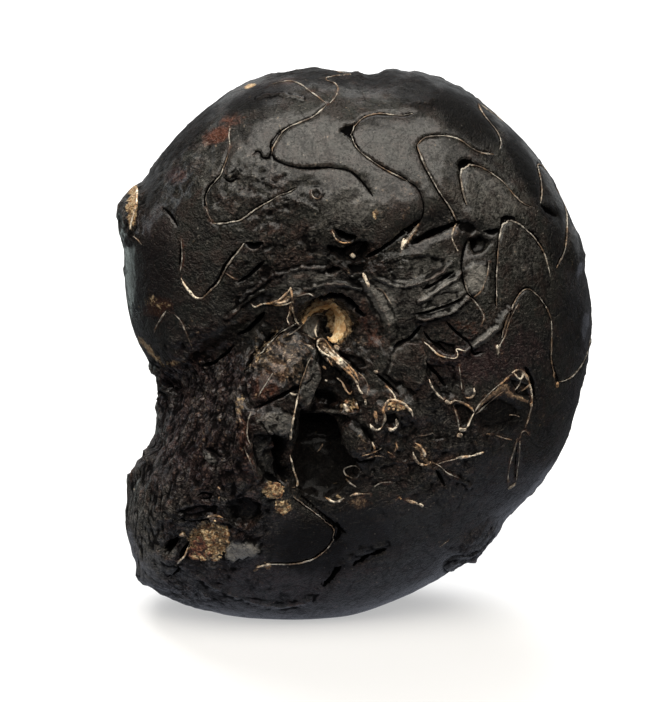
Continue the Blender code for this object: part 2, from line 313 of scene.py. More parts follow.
# Broad bands stained by shell, pinkish tan: half width (pixels), height (mm), then the points.
BANDS = {
    "strut": (3.8, 0.30, ((321, 344), (327, 351), (335, 357), (343, 365), (350, 372))),
    "vein's fan": (2.2, 0.10, ((276, 303), (283, 302), (289, 299))),
    "vein's trunk": (1.8, 0.15, ((291, 304), (291, 310), (290, 315))),
    "seventh limb": (2.6, 0.15, ((479, 408), (486, 400), (493, 394), (500, 389), (505, 385))),
    "wedge": (2.4, 0.15, ((505, 388), (509, 393), (514, 396))),
    "wedge's tail": (1.6, 0.12, ((513, 394), (520, 398), (527, 402))),
    "cleft's wedge": (1.6, 0.15, ((414, 231), (409, 238), (404, 246))),
    "right blob": (2.6, 0.20, ((417, 446), (421, 451), (423, 458), (427, 463))),
}

# Plain cracks and clefts, painted black inside as shade: half width and depth in pixels, then the
# points.
CRACKS = {
    "first lobe": (1.0, 2.2, ((272, 154), (275, 159), (282, 163), (291, 166), (302, 168),
                              (315, 168), (326, 167), (336, 168), (348, 170), (358, 177),
                              (366, 186), (373, 196))),
    "second saddle's back": (0.8, 1.8, ((408, 181), (416, 186), (421, 194), (424, 205),
                                        (423, 216), (417, 226), (408, 234))),
    "upper cleft": (2.0, 7.0, ((366, 257), (380, 250), (390, 244), (397, 238), (405, 232),
                               (412, 227), (419, 221))),
    "second cleft": (3.2, 9.0, ((412, 243), (420, 238), (430, 233), (440, 229), (450, 225),
                                (459, 222))),
    "right cleft": (2.2, 5.0, ((484, 231), (492, 232), (501, 229))),
    "third saddle's corner": (3.4, 5.0, ((461, 172), (463, 164), (471, 162))),
    "fifth saddle's corner": (2.6, 5.0, ((501, 224), (505, 218), (515, 218))),
    "fifth saddle's side": (2.0, 4.0, ((530, 230), (537, 238), (543, 247))),
    "right crevice": (3.2, 4.0, ((542, 206), (549, 211), (557, 215))),
    "crescent's shadow": (3.6, 7.0, ((337, 231), (344, 236), (354, 239))),
    "left limb's start": (1.2, 3.0, ((163, 208), (168, 212), (173, 219), (177, 226))),
    "left limb's stem": (1.2, 2.4, ((180, 244), (180, 256), (179, 265))),
    "left limb's side": (1.8, 4.0, ((206, 292), (213, 286), (219, 278), (225, 266), (232, 256),
                                    (239, 249))),
    "squiggle": (1.2, 3.0, ((223, 177), (228, 181), (232, 181), (235, 178), (239, 179))),
    "scallops": (0.9, 2.0, ((252, 155), (256, 151), (260, 152), (262, 157), (268, 157), (271, 151),
                            (270, 144), (273, 138), (278, 132), (286, 127))),
    "upper left limb's side": (1.3, 3.0, ((204, 206), (205, 195), (208, 187), (214, 180),
                                          (219, 175))),
    "fold under the lobe": (1.6, 4.0, ((238, 282), (247, 277), (255, 270), (264, 261))),
    "hole in the flank": (2.6, 5.0, ((246, 243), (254, 246), (262, 243))),
    "trench above the neck": (1.9, 7.0, ((202, 366), (214, 362), (224, 354), (233, 346))),
    "trench, middle": (1.9, 6.0, ((238, 335), (248, 330), (256, 322), (264, 313))),
    "trench, lower": (1.8, 6.0, ((246, 366), (254, 354), (263, 344), (271, 336), (276, 332))),
    "umbilicus' overhang": (1.9, 8.0, ((304, 315), (309, 308), (316, 301), (323, 298),
                                       (333, 296), (344, 298), (351, 303))),
    "umbilicus' overhang, right": (2.6, 6.0, ((346, 300), (353, 306), (358, 312), (364, 316))),
    "umbilicus' hole": (3.4, 9.0, ((324, 327), (326, 331))),
    "cut over the strut": (1.6, 6.0, ((327, 338), (334, 345), (341, 352), (349, 359), (357, 368),
                                      (361, 376))),
    "cut on the shaft's left": (1.4, 5.0, ((314, 341), (316, 349), (321, 358), (320, 366))),
    "cut under the face": (1.5, 4.5, ((255, 408), (266, 403), (279, 397), (290, 391), (300, 388))),
    "cut under the inner whorl": (1.4, 5.0, ((376, 374), (384, 380), (392, 386), (400, 394))),
    "cut on the right flank": (1.5, 5.0, ((425, 361), (434, 369), (441, 377), (447, 386))),
    "hollow by the long line": (1.6, 5.0, ((286, 444), (286, 456), (288, 468), (290, 478))),
    "cut by the lump": (2.0, 6.0, ((360, 424), (366, 432), (372, 441), (370, 449))),
    "cut under the lump": (1.8, 5.0, ((344, 447), (350, 456), (360, 461), (372, 461))),
    "cut over the crystals": (2.2, 6.0, ((264, 475), (270, 478), (279, 481), (284, 488))),
    "notch on the bead line": (2.4, 6.0, ((337, 523), (340, 532), (336, 541))),
    "line off the notch": (1.1, 3.0, ((300, 494), (310, 503), (322, 514), (334, 524),
                                      (346, 534))),
    "pit near the foot": (3.0, 7.0, ((324, 586), (330, 580), (335, 573), (340, 567))),
    "second pit near the foot": (2.2, 5.0, ((353, 566), (364, 560), (376, 554), (386, 550))),
    "pit in the mouth's corner": (3.6, 9.0, ((163, 550), (169, 545), (176, 540))),
    "pit under the mouth's corner": (2.6, 8.0, ((180, 557), (184, 551), (189, 543))),
    "chin's crack": (1.1, 4.0, ((179, 563), (178, 571), (173, 576), (167, 578))),
    "cut over the mouth": (1.4, 4.0, ((178, 520), (190, 522), (201, 521), (212, 519))),
    "curl on the neck": (1.1, 3.0, ((197, 496), (203, 493), (211, 495), (208, 499), (200, 498))),
    "cut on the neck": (1.5, 4.0, ((205, 448), (212, 451), (220, 457))),
    "right flank's pit": (4.0, 9.0, ((473, 246), (476, 241))),
    "dark gap by the saddle": (2.2, 6.0, ((526, 368), (530, 375), (534, 385), (535, 398))),
    "gap in the lens": (1.0, 4.0, ((518, 446), (517, 460), (516, 478))),
    "facet's left edge": (1.3, 3.0, ((468, 240), (463, 254), (462, 268), (463, 280), (467, 290),
                                     (472, 298), (478, 303))),
    "arc in the brown chamber": (1.1, 3.0, ((447, 322), (454, 330), (461, 336), (470, 344))),
    "arc in the right chamber": (1.2, 3.0, ((424, 332), (430, 340), (438, 345), (446, 352))),
    "cut under the ridge": (1.2, 3.0, ((466, 338), (470, 345), (474, 354), (482, 352))),
    "cut beside the bulb": (1.2, 3.0, ((554, 364), (557, 374), (559, 380))),
    "dark gap in the cell": (4.0, 6.0, ((482, 410), (490, 404))),
    "septa's crack": (1.7, 4.0, ((423, 289), (433, 285), (443, 279), (454, 272))),
    "lower septum's crack": (1.8, 4.0, ((416, 314), (428, 312), (440, 308), (452, 304),
                                        (462, 299))),
    "block's crack": (1.5, 4.0, ((394, 347), (401, 342), (409, 339), (416, 332), (421, 326))),
    "root's crack": (1.4, 3.0, ((436, 470), (441, 478), (445, 486))),
    "hole by the window": (2.6, 6.0, ((333, 424), (332, 430))),
    "ledge by the foot": (1.0, 3.5, ((446, 566), (456, 559), (467, 553), (478, 547), (490, 538))),
}

# Cracks that the far flank has too.
FAR_CRACKS = ("first lobe", "second saddle's back", "upper left limb's side", "left limb's stem",
              "left limb's side", "second cleft")

# Worn and stained patches of the front flank: middle, half sizes (pixels), tilt (degrees),
# softness of the edge and strength.
ROUGH_PATCHES = {
    "scaly flank": (256, 198, 48, 38, -15, 0.5, 0.62),
    "under the scales": (285, 254, 75, 27, -16, 0.5, 0.5),
    "worn neck": (205, 425, 66, 92, 12, 0.3, 0.75),
    "mouth": (195, 515, 86, 66, 0, 0.35, 0.75),
    "broken face": (300, 395, 82, 98, 8, 0.4, 0.6),
    "beside the umbilicus": (425, 335, 50, 60, 0, 0.5, 0.35),
    "behind the umbilicus": (360, 258, 50, 19, 0, 0.4, 0.75),
    "broken belt": (420, 425, 76, 62, 0, 0.45, 0.5),
    "crown": (335, 77, 80, 14, 5, 0.5, 0.45),
    "crown, right": (415, 90, 26, 16, 30, 0.6, 0.4),
    "left edge": (131, 205, 16, 36, 0, 0.4, 0.65),
    "left shoulder": (185, 160, 34, 44, 30, 0.5, 0.4),
    "chin": (185, 592, 40, 14, 12, 0.5, 0.7),
    "knob": (478, 545, 26, 16, -30, 0.5, 0.5),
}
# The ones that go through the shell, so that the far flank has them too.
BREAKS_THROUGH = ("worn neck", "mouth", "chin", "left edge", "crown", "crown, right")
# Patches with streaks: as above, then the streaks' slope (degrees, rising to the right) and
# spacing (mm).
FLOW_PATCHES = {
    "septa": ((417, 285, 48, 42, 0, 0.4, 0.42), 27, 0.9),
    "under the scales": ((285, 262, 85, 38, -20, 0.4, 0.8), 24, 0.9),
    "over the umbilicus": ((340, 285, 50, 16, 0, 0.4, 0.8), 5, 0.8),
    "neck": ((148, 500, 30, 80, 5, 0.5, 1.1), 84, 0.9),
    "neck, upper": ((190, 385, 40, 40, 0, 0.4, 1.2), -50, 0.9),
    "neck, right": ((225, 440, 20, 60, 0, 0.5, 1.2), 70, 0.9),
    "neck, middle": ((195, 440, 24, 50, 0, 0.6, 0.9), 55, 0.8),
    "red whorl": ((362, 345, 24, 40, 0, 0.4, 0.8), -55, 0.9),
    "belt": ((430, 465, 60, 22, 0, 0.5, 0.5), 8, 0.9),
    "belly": ((250, 595, 80, 16, 8, 0.5, 0.5), -12, 1.0),
    "belly, middle": ((390, 525, 130, 50, -10, 0.6, 0.30), 22, 1.0),
    "left cheek": ((165, 270, 45, 60, 0, 0.6, 0.28), 30, 0.8),
    "right flank": ((545, 340, 45, 120, 0, 0.6, 0.22), -72, 0.9),
    "fibres": ((277, 424, 17, 12, 0, 0.3, 2.2), -38, 0.45),
    "shaft block": ((311, 382, 10, 26, 12, 0.4, 1.2), 60, 0.5),
    "face": ((281, 360, 28, 26, -50, 0.5, 1.1), 50, 0.6),
    "facet by the crystals": ((244, 549, 18, 10, 5, 0.3, 0.5), 30, 0.5),
    "left column": ((272, 458, 14, 22, 0, 0.4, 0.7), 85, 0.6),
}
GLOSS_PATCHES = {
    "upper flank": (330, 145, 115, 60, 0, 0.5, 1.0),
    "right of the crown": (440, 170, 90, 75, 30, 0.5, 0.9),
    "left cheek": (150, 285, 40, 60, 0, 0.4, 0.8),
    "grey facet": (477, 281, 13, 17, 0, 0.3, 1.0),
    "first chamber": (352, 202, 42, 34, 0, 0.5, 1.0),
    "right edge": (570, 320, 30, 80, 0, 0.5, 0.8),
    "belly": (400, 545, 110, 40, -10, 0.6, 0.8),
}
GREY_PATCHES = {
    "behind the umbilicus": (308, 279, 34, 12, -8, 0.6, 0.5),
    "first chamber": (352, 204, 32, 26, 0, 0.6, 0.40),
    "septa": (425, 280, 50, 34, -20, 0.6, 0.38),
    "right flank": (525, 255, 20, 30, 0, 0.6, 0.30),
    "neck, low": (180, 490, 34, 24, 0, 0.7, 0.30),
    "facet by the crystals": (243, 549, 19, 10, 5, 0.2, 1.6),
    "fibrous patch": (278, 424, 18, 12, 10, 0.3, 1.0),
    "shaft block": (311, 382, 10, 26, 12, 0.4, 0.7),
    "umbilical floor": (311, 326, 8, 11, 0, 0.3, 0.9),
    "grey facet": (477, 280, 12, 16, 0, 0.3, 1.15),
    "inner whorl": (382, 302, 13, 26, -28, 0.4, 0.7),
    "block on the right": (398, 354, 14, 14, -20, 0.4, 0.35),
    "shoulder facet": (205, 165, 20, 26, 0, 0.6, 0.40),
    "scaly flank": (250, 195, 45, 30, -15, 0.6, 0.30),
    "septa's right": (448, 296, 30, 18, -30, 0.6, 0.6),
    "upper septa": (438, 292, 24, 9, -32, 0.5, 0.75),
    "lump": (350, 434, 9, 8, 0, 0.5, 0.35),
    "facet in the mouth": (172, 552, 7, 4, -35, 0.3, 0.8),
    "left column": (263, 458, 9, 20, 0, 0.5, 0.4),
    "flap": (325, 412, 16, 4, -3, 0.3, 0.7),
    "neck's scale": (210, 458, 9, 4, 40, 0.3, 0.9),
    # Painted highlight: along the lower left edge the paler grey also stands in for the light that
    # the edge catches.
    "lower left edge": (145, 540, 20, 50, -12, 0.6, 0.7),
    "chin facet": (171, 570, 8, 8, 0, 0.4, 0.5),
    "upper chamber": (300, 150, 70, 40, 0, 0.6, 0.2),
    "disc": (469, 391, 5, 5, 0, 0.3, 0.6),
    "right of the crown": (492, 200, 44, 34, 30, 0.6, 0.4),
    "branch ridge": (485, 337, 20, 5, -38, 0.4, 0.7),
}
# Blacker, more polished places, and painted shade: in hollows and on the underside the colour goes
# near black, and part of the surface takes the black, shineless painted shade.
BLACK_AND_SHADED_PATCHES = {
    "left cheek": (150, 275, 30, 60, 0, 0.5, 0.6),
    "right of the saddles": (575, 320, 22, 60, 0, 0.6, 0.5),
    "under the crystals": (310, 545, 50, 32, 0, 0.6, 0.9),
    "belly": (440, 520, 60, 34, 0, 0.7, 0.35),
    "belly, right": (480, 465, 60, 50, 0, 0.8, 0.35),
    "belly, left": (345, 530, 70, 34, 0, 0.8, 0.65),
    "window": (322, 460, 31, 46, 0, 0.4, 1.2),
    "crown's left": (258, 97, 40, 11, -22, 0.5, 0.9),
    "upper left edge": (184, 132, 66, 15, -48, 0.5, 1.0),
    "left shoulder": (150, 192, 12, 30, 20, 0.5, 0.7),
    "upper right cell": (464, 112, 44, 20, 35, 0.5, 1.0),
    "right arc": (525, 166, 48, 11, 62, 0.5, 1.0),
    "right wedge": (553, 213, 13, 8, 20, 0.5, 1.0),
    "right edge, upper": (560, 245, 14, 30, -10, 0.6, 0.7),
    "crown, front": (345, 76, 90, 13, 4, 0.6, 1.0),
    "crown, right": (425, 92, 40, 14, 25, 0.6, 1.0),
    "cell by the saddle": (500, 415, 26, 18, -10, 0.4, 0.9),
    "behind the umbilicus": (345, 255, 26, 16, 10, 0.4, 0.8),
    "strut's floor": (330, 384, 16, 24, 0, 0.4, 0.6),
    "window's right": (345, 478, 22, 24, 0, 0.5, 0.8),
    "trench": (262, 330, 36, 14, -38, 0.5, 0.7),
    "under the left lobe": (245, 285, 34, 12, -30, 0.5, 0.6),
    "hollow by the crystals": (242, 512, 20, 12, 0, 0.4, 0.9),
    "crown": (412, 92, 34, 16, 30, 0.6, 0.85),
}
RUST_PATCHES = {
    "left cheek": (157, 308, 16, 10, -20, 0.6, 0.9),
    "shoulder": (216, 136, 14, 8, -18, 0.7, 1.25),
    "shoulder, high": (230, 119, 16, 9, -30, 0.8, 0.6),
    "shoulder, low": (180, 176, 10, 6, -30, 0.7, 0.5),
    "brown chamber": (466, 328, 14, 14, 0, 0.5, 0.35),
    "broken face": (270, 390, 12, 14, 30, 0.5, 0.7),
    "face": (286, 352, 18, 14, -40, 0.6, 0.5),
    "face's foot": (272, 378, 24, 12, -45, 0.6, 0.75),
    "neck, top": (182, 366, 22, 10, -20, 0.6, 0.40),
    "crystals' left": (196, 552, 10, 8, 0, 0.5, 1.0),
    "right of the umbilicus": (370, 325, 12, 26, -20, 0.6, 0.55),
    "neck": (246, 440, 7, 42, -8, 0.5, 0.7),
    "belt": (515, 386, 16, 14, 20, 0.6, 0.30),
    "pink patch": (360, 502, 10, 8, 0, 0.6, 0.55),
    "crown": (285, 82, 26, 5, -14, 0.5, 0.7),
    "crown, right": (350, 76, 20, 4, 0, 0.5, 0.5),
    "strut's flank": (345, 405, 16, 8, 20, 0.4, 0.5),
    "crystals' foot": (200, 549, 16, 8, 0, 0.5, 0.9),
}
PURPLE_PATCHES = {
    "lower flank": (430, 470, 130, 90, 0, 0.7, 0.25),
    "upper cells": (470, 362, 44, 24, 0, 0.7, 0.65),
    "belly": (270, 560, 110, 50, 0, 0.7, 0.55),
    "left cheek": (150, 260, 30, 60, 0, 0.6, 0.5),
    "shoulder": (176, 176, 12, 8, -20, 0.5, 0.8),
    "saddle's chamber": (525, 350, 22, 26, 0, 0.6, 0.5),
    "crown's left": (262, 92, 36, 8, -18, 0.5, 0.6),
    "tan chamber": (400, 195, 26, 26, 0, 0.6, 0.35),
    "broken face": (268, 388, 18, 26, 20, 0.5, 0.5),
    "neck": (205, 425, 60, 85, 10, 0.6, 0.85),
    "mouth": (160, 490, 40, 50, 0, 0.6, 0.4),
    "red whorl": (355, 345, 26, 26, 0, 0.5, 0.35),
}
# Stone with the tan remains of shell on it.
TAN_PATCHES = {
    "pink patch": (359, 502, 10, 8, 10, 0.6, 0.55),
    "face": (281, 358, 30, 30, -50, 0.6, 0.62),
    "face, low": (262, 388, 14, 16, 0, 0.6, 0.36),
    "tan chamber": (398, 198, 28, 30, 0, 0.7, 0.32),
    "lump": (362, 446, 12, 14, 0, 0.5, 0.34),
    "strut": (335, 358, 20, 5, 44, 0.4, 0.8),
    "left ring": (156, 308, 16, 11, -20, 0.5, 0.32),
    "round the crystals": (286, 494, 18, 22, -30, 0.6, 0.34),
    "round the umbilicus": (350, 340, 22, 16, 0, 0.6, 0.34),
    "strut's flank": (345, 372, 16, 12, 40, 0.5, 0.40),
    "belt": (455, 452, 50, 16, 0, 0.7, 0.24),
    "root": (425, 450, 12, 16, 0, 0.5, 0.36),
    "seventh limb": (520, 385, 16, 16, 0, 0.5, 0.30),
    "frill": (392, 412, 24, 16, 0, 0.6, 0.34),
    "neck": (212, 425, 42, 75, 0, 0.7, 0.36),
    "cleft's end": (385, 252, 18, 12, -30, 0.6, 0.30),
    "crown's left": (262, 92, 30, 8, -20, 0.6, 0.25),
    "chin": (172, 566, 16, 14, 0, 0.6, 0.25),
}
OCHRE_PATCHES = {
    "umbilicus, right": (339, 323, 11, 17, -8, 0.25, 1.0),
    "umbilicus, upper": (320, 307, 17, 5, -22, 0.25, 0.9),
    "umbilicus, left": (305, 318, 6, 2.5, -55, 0.25, 0.9),
    "first crystals": (273, 490, 11, 9, 10, 0.4, 1.0),
    "second crystals": (283, 507, 8, 8, -15, 0.4, 1.0),
    "mouth's crystals": (208, 541, 21, 18, -10, 0.3, 1.0),
    "small spot": (375, 214, 3, 4, 0, 0.3, 0.9),
    "left streak": (135, 206, 3.4, 22, 5, 0.3, 1.2),
    "strut": (333, 357, 20, 3.2, 44, 0.4, 0.75),
    "left band": (149, 350, 19, 3.0, 48, 0.8, 0.95),
    "left band, lower": (174, 363, 13, 2.5, -5, 0.8, 0.8),
    "left ring": (156, 303, 13, 6, 12, 0.9, 0.42),
    "neck": (241, 408, 4, 16, 5, 0.5, 0.6),
    "face": (262, 352, 24, 6, -52, 0.7, 0.55),
    "lower line's tip": (264, 566, 9, 3, -8, 0.3, 0.9),
    "bead in the mouth": (183, 535, 4, 4, 0, 0.4, 0.8),
    "left of the crown": (249, 86, 6, 2.5, -15, 0.4, 0.9),
    "sill": (334, 498, 8, 3, 0, 0.3, 0.6),
    "frill by the flap": (348, 405, 8, 6, 0, 0.4, 0.7),
    "frill": (397, 404, 12, 5, 15, 0.4, 0.7),
}
# Broken plates and hollows of the front flank: height (mm, below zero for a hollow), width of
# the edge (pixels), darkness of the shade painted into a hollow, then the corners.
PLATES = {
    "second saddle's pit": (-0.4, 1.5, 0.95, ((339, 131), (348, 125), (358, 120), (354, 129),
                                              (351, 137), (346, 134))),
    "window": (-1.5, 5, 0.58, ((303, 414), (320, 413), (334, 419), (337, 432), (345, 447),
                              (354, 461), (360, 470), (349, 481), (337, 492), (320, 496),
                              (301, 489), (294, 468), (298, 440))),
    "window's corner": (-0.5, 4, 0.55, ((300, 420), (330, 416), (338, 428), (334, 438), (318, 436),
                                       (304, 444))),
    "left window": (-0.7, 3, 0.3, ((255, 436), (263, 436), (276, 438), (290, 440), (289, 460),
                                   (293, 480), (284, 482), (270, 477), (259, 468), (254, 448))),
    "left slot": (-1.0, 2, 0.8, ((274, 440), (287, 440), (288, 460), (290, 478), (282, 478),
                                 (276, 460))),
    "lump": (0.55, 6, 0.0, ((340, 426), (352, 422), (361, 428), (368, 438), (374, 447), (371, 457),
                           (360, 458), (352, 455), (344, 443))),
    "lump's disc": (0.15, 1.5, 0.0, ((350, 447), (355, 444), (361, 448), (360, 455), (354, 458),
                                     (349, 453))),
    "fibrous patch": (0.40, 2, 0.0, ((261, 422), (268, 414), (284, 412), (295, 417), (292, 430),
                                     (280, 436), (270, 434))),
    "broken face": (0.35, 3, 0.0, ((296, 328), (310, 340), (318, 352), (312, 376), (300, 385),
                                   (284, 390), (266, 400), (254, 402), (246, 392), (250, 374),
                                   (264, 354), (280, 336))),
    "shaft block": (0.45, 2, 0.0, ((306, 358), (319, 362), (321, 380), (313, 396), (303, 411),
                                   (297, 402), (302, 382))),
    "strut's floor": (-0.7, 2, 0.55, ((322, 358), (336, 368), (350, 384), (356, 402), (338, 405),
                                      (322, 404), (314, 396), (321, 378))),
    "hollow by the strut": (-0.5, 2, 0.6, ((338, 352), (350, 354), (362, 358), (366, 366),
                                           (356, 366), (346, 360))),
    "mouth's corner": (-1.2, 3, 1.0, ((160, 548), (167, 542), (179, 538), (174, 546), (164, 556))),
    "facet by the crystals": (0.5, 2, 0.0, ((227, 546), (236, 539), (246, 541), (253, 543),
                                            (261, 551), (246, 557), (232, 560), (225, 556))),
    "bits over the facet": (0.3, 2, 0.0, ((231, 528), (238, 531), (245, 531), (246, 539),
                                          (236, 540))),
    "hollow by the crystals": (-0.7, 5, 0.3, ((226, 502), (246, 498), (260, 505), (260, 518),
                                              (248, 527), (236, 522))),
    "hollow over the crystals": (-0.5, 4, 0.4, ((176, 512), (198, 506), (218, 506), (214, 512),
                                                (200, 518), (184, 519))),
    "block on the right": (0.45, 2, 0.0, ((396, 348), (406, 343), (420, 342), (427, 358),
                                          (426, 380), (414, 392), (402, 384), (386, 374))),
    "cell on the right": (-0.35, 6, 0.3, ((427, 362), (456, 364), (459, 385), (452, 396),
                                         (440, 393), (431, 380))),
    "cell over the hook": (-0.4, 2, 0.3, ((432, 344), (440, 342), (454, 346), (454, 354),
                                          (442, 354))),
    "v of the root": (-0.3, 2, 0.6, ((455, 404), (468, 407), (471, 413), (466, 424), (461, 426))),
    "cell by the saddle": (-0.30, 7, 0.5, ((478, 410), (486, 403), (500, 397), (512, 402),
                                          (522, 410), (516, 422), (498, 428), (480, 430))),
    "net of the saddle": (-0.3, 2, 0.4, ((511, 378), (520, 382), (528, 384), (530, 398),
                                         (518, 394))),
    "disc": (0.2, 1.5, 0.0, ((464, 389), (467, 386), (472, 387), (474, 392), (471, 396),
                             (465, 395))),
    "crystal ring": (-0.6, 3, 0.7, ((386, 414), (396, 413), (400, 422), (394, 429), (386, 425))),
    "hollow by the ring": (-0.3, 6, 0.4, ((399, 414), (412, 416), (417, 426), (404, 434),
                                          (399, 428))),
    "umbilicus' overhang": (-0.5, 2, 1.0, ((311, 304), (318, 297), (328, 294), (340, 294),
                                           (350, 298), (358, 308), (352, 309), (344, 302),
                                           (334, 299), (324, 300), (316, 305))),
    "hollow over the umbilicus": (-0.8, 5, 0.5, ((328, 246), (340, 249), (352, 245), (366, 243),
                                                (368, 252), (358, 259), (344, 258),
                                                (332, 255))),
    "hollow by the crescent": (-0.5, 2, 1.0, ((335, 229), (344, 233), (357, 238), (352, 241),
                                              (342, 240))),
    "lower hollow": (-0.6, 2, 0.9, ((348, 266), (358, 262), (366, 262), (362, 272), (354, 274))),
    "left lower hollow": (-0.5, 2, 0.8, ((328, 270), (334, 266), (341, 268), (338, 273),
                                         (330, 274))),
    "bowl": (-0.25, 3, 0.15, ((382, 262), (400, 258), (424, 256), (446, 258), (444, 268),
                              (430, 277), (410, 282), (394, 280))),
    "dark septum": (-0.3, 2, 0.4, ((440, 294), (452, 291), (462, 293), (454, 302), (440, 306),
                                   (424, 309), (428, 302))),
    "right pit": (-0.9, 4, 0.5, ((470, 240), (480, 236), (488, 242), (484, 250), (474, 252))),
    "dark knot": (-0.4, 3, 0.7, ((459, 222), (470, 222), (477, 228), (472, 233), (462, 231))),
    "grey facet": (0.15, 1.5, 0.0, ((465, 268), (474, 264), (487, 263), (487, 277), (480, 291),
                                    (471, 296), (465, 285))),
    "scale by the lobe": (0.16, 1.5, 0.0, ((212, 208), (226, 196), (244, 190), (262, 194),
                                           (272, 200), (254, 208), (240, 217), (224, 221))),
    "neck's scale": (0.35, 1.5, 0.0, ((202, 452), (207, 450), (214, 458), (218, 463), (214, 465),
                                      (206, 459))),
    "ochre facet": (0.2, 1.5, 0.0, ((262, 484), (276, 480), (286, 488), (282, 498), (268, 500),
                                    (263, 492))),
    "blocks under the belt": (0.2, 2, 0.0, ((432, 440), (446, 438), (454, 446), (444, 452),
                                            (432, 450))),
}
# Lumps and dents that show in the outline: height (mm), then the patch as above.
LUMPS = {
    "left edge": (0.42, (127, 196, 11, 22, 6, 0.5, 1.0)),
    "left edge, low": (0.42, (124, 220, 11, 20, -4, 0.5, 1.0)),
    "neck, upper": (0.75, (162, 394, 14, 15, 0, 0.5, 1.0)),
    "neck, notch": (-0.85, (147, 439, 16, 18, 0, 0.5, 1.0)),
    "neck boss": (0.35, (127, 482, 9, 11, 0, 0.4, 1.0)),
    "lower left": (-0.55, (126, 556, 12, 22, 0, 0.5, 1.0)),
    "lower left corner": (0.35, (138, 580, 10, 8, 30, 0.5, 1.0)),
    "crown": (-0.40, (312, 66, 50, 8, 0, 0.6, 1.0)),
    "crown, notch": (-0.45, (372, 72, 10, 10, 0, 0.5, 1.0)),
    "crown, notch on the right": (-0.25, (405, 70, 7, 8, 0, 0.5, 1.0)),
    "lower right": (0.42, (482, 542, 24, 12, -35, 0.45, 1.0)),
    "lower right, dent": (-0.3, (452, 565, 14, 10, -30, 0.5, 1.0)),
    "right edge": (0.35, (577, 250, 9, 20, 0, 0.4, 1.0)),
    "right edge, low": (0.2, (586, 330, 8, 40, 0, 0.5, 1.0)),
}
# Sharp crests of broken shell: half width (pixels), height (mm), then the points.
CRESTS = {
    "red ridge": (5.0, 0.5, ((248, 372), (242, 386), (239, 402), (241, 418), (244, 432), (248, 448),
                              (253, 464), (259, 478))),
    "flap over the window": (2.6, 0.5, ((306, 416), (314, 413), (324, 410), (336, 412), (348, 413),
                                        (360, 412))),
    "edge of the lump": (2.0, 0.35, ((362, 426), (369, 437), (377, 448))),
    "face's outer edge": (2.0, 0.35, ((300, 324), (288, 325), (276, 336), (263, 351), (254, 364),
                                      (247, 376))),
    "bowl's lip": (2.0, 0.30, ((373, 273), (385, 281), (395, 285), (406, 287), (420, 284),
                               (434, 278), (445, 271), (450, 263))),
    "third septum": (3.2, 0.40, ((420, 302), (428, 296), (436, 291), (446, 285), (456, 278),
                                 (462, 272))),
    "fourth septum": (3.0, 0.50, ((418, 319), (433, 318), (445, 314), (457, 307), (468, 298))),
    "second facet": (1.8, 0.20, ((490, 262), (488, 277), (481, 292))),
    "inner whorl": (6.5, 0.40, ((362, 282), (372, 292), (381, 304), (388, 318), (391, 332))),
    "branch ridge": (4.2, 0.60, ((465, 351), (475, 344), (485, 337), (495, 329), (503, 319),
                                 (509, 309))),
    "lip of the mouth": (4.0, 0.5, ((212, 519), (226, 520), (240, 524))),
    "crystals' lip": (1.8, 0.4, ((176, 566), (182, 559), (187, 551), (191, 541), (199, 526))),
    "lower crest": (3.0, 0.25, ((196, 576), (222, 590), (250, 602), (282, 606), (310, 600))),
    "neck crest": (4.0, 0.5, ((150, 366), (168, 380), (176, 396), (174, 412))),
    "neck boss": (6.0, 0.8, ((145, 450), (148, 455), (149, 459))),
    "neck boss, low": (6.0, 0.5, ((128, 482), (133, 476), (142, 468))),
    "belly crest": (1.6, 0.20, ((345, 470), (352, 478), (366, 476), (380, 466), (396, 462),
                                (416, 460))),
    "saddle's flank": (2.2, 0.25, ((424, 466), (440, 470), (456, 478), (470, 486))),
    "scale, upper": (1.6, 0.22, ((228, 176), (238, 170), (250, 176), (262, 180), (276, 184))),
    "scale, lower": (1.6, 0.20, ((262, 212), (276, 206), (292, 200), (306, 204), (318, 210))),
    "ledge by the foot": (2.6, 0.35, ((448, 571), (460, 564), (472, 558), (484, 552), (493, 544))),
    "pits' rim": (1.6, 0.18, ((316, 594), (325, 582), (333, 571), (342, 562), (354, 555),
                              (368, 548), (386, 545))),
    "little ring": (1.6, 0.2, ((311, 196), (312, 190), (318, 189), (321, 194), (318, 199))),
    "soft fold": (2.2, 0.16, ((259, 98), (268, 95), (280, 94), (292, 95), (302, 98))),
    "long fold": (3.0, 0.3, ((240, 300), (256, 286), (276, 274), (300, 268), (324, 268))),
    "second fold": (3.0, 0.25, ((226, 318), (240, 306), (252, 296), (262, 290))),
    "third fold": (2.6, 0.3, ((306, 290), (324, 284), (344, 284), (360, 290))),
    "fold behind the pit": (2.0, 0.3, ((325, 257), (335, 264), (345, 269), (353, 278))),
}

# The cream lip of the umbilicus: corners, half width at each (pixels), number of lumps and their
# scatter (pixels).
UMBILICAL_LIP = {
    "upper": (((302, 325), (305, 320), (309, 315), (315, 310), (323, 307), (331, 306), (337, 306)),
              (0.9, 1.6, 2.4, 3.6, 4.4, 4.2, 2.6), 110, 0.8),
    "right": (((334, 309), (339, 314), (340, 322), (339, 329), (338, 335), (333, 339), (327, 338)),
              (3.5, 5.4, 6.4, 6.4, 5.2, 2.6, 1.2), 120, 1.2),
}
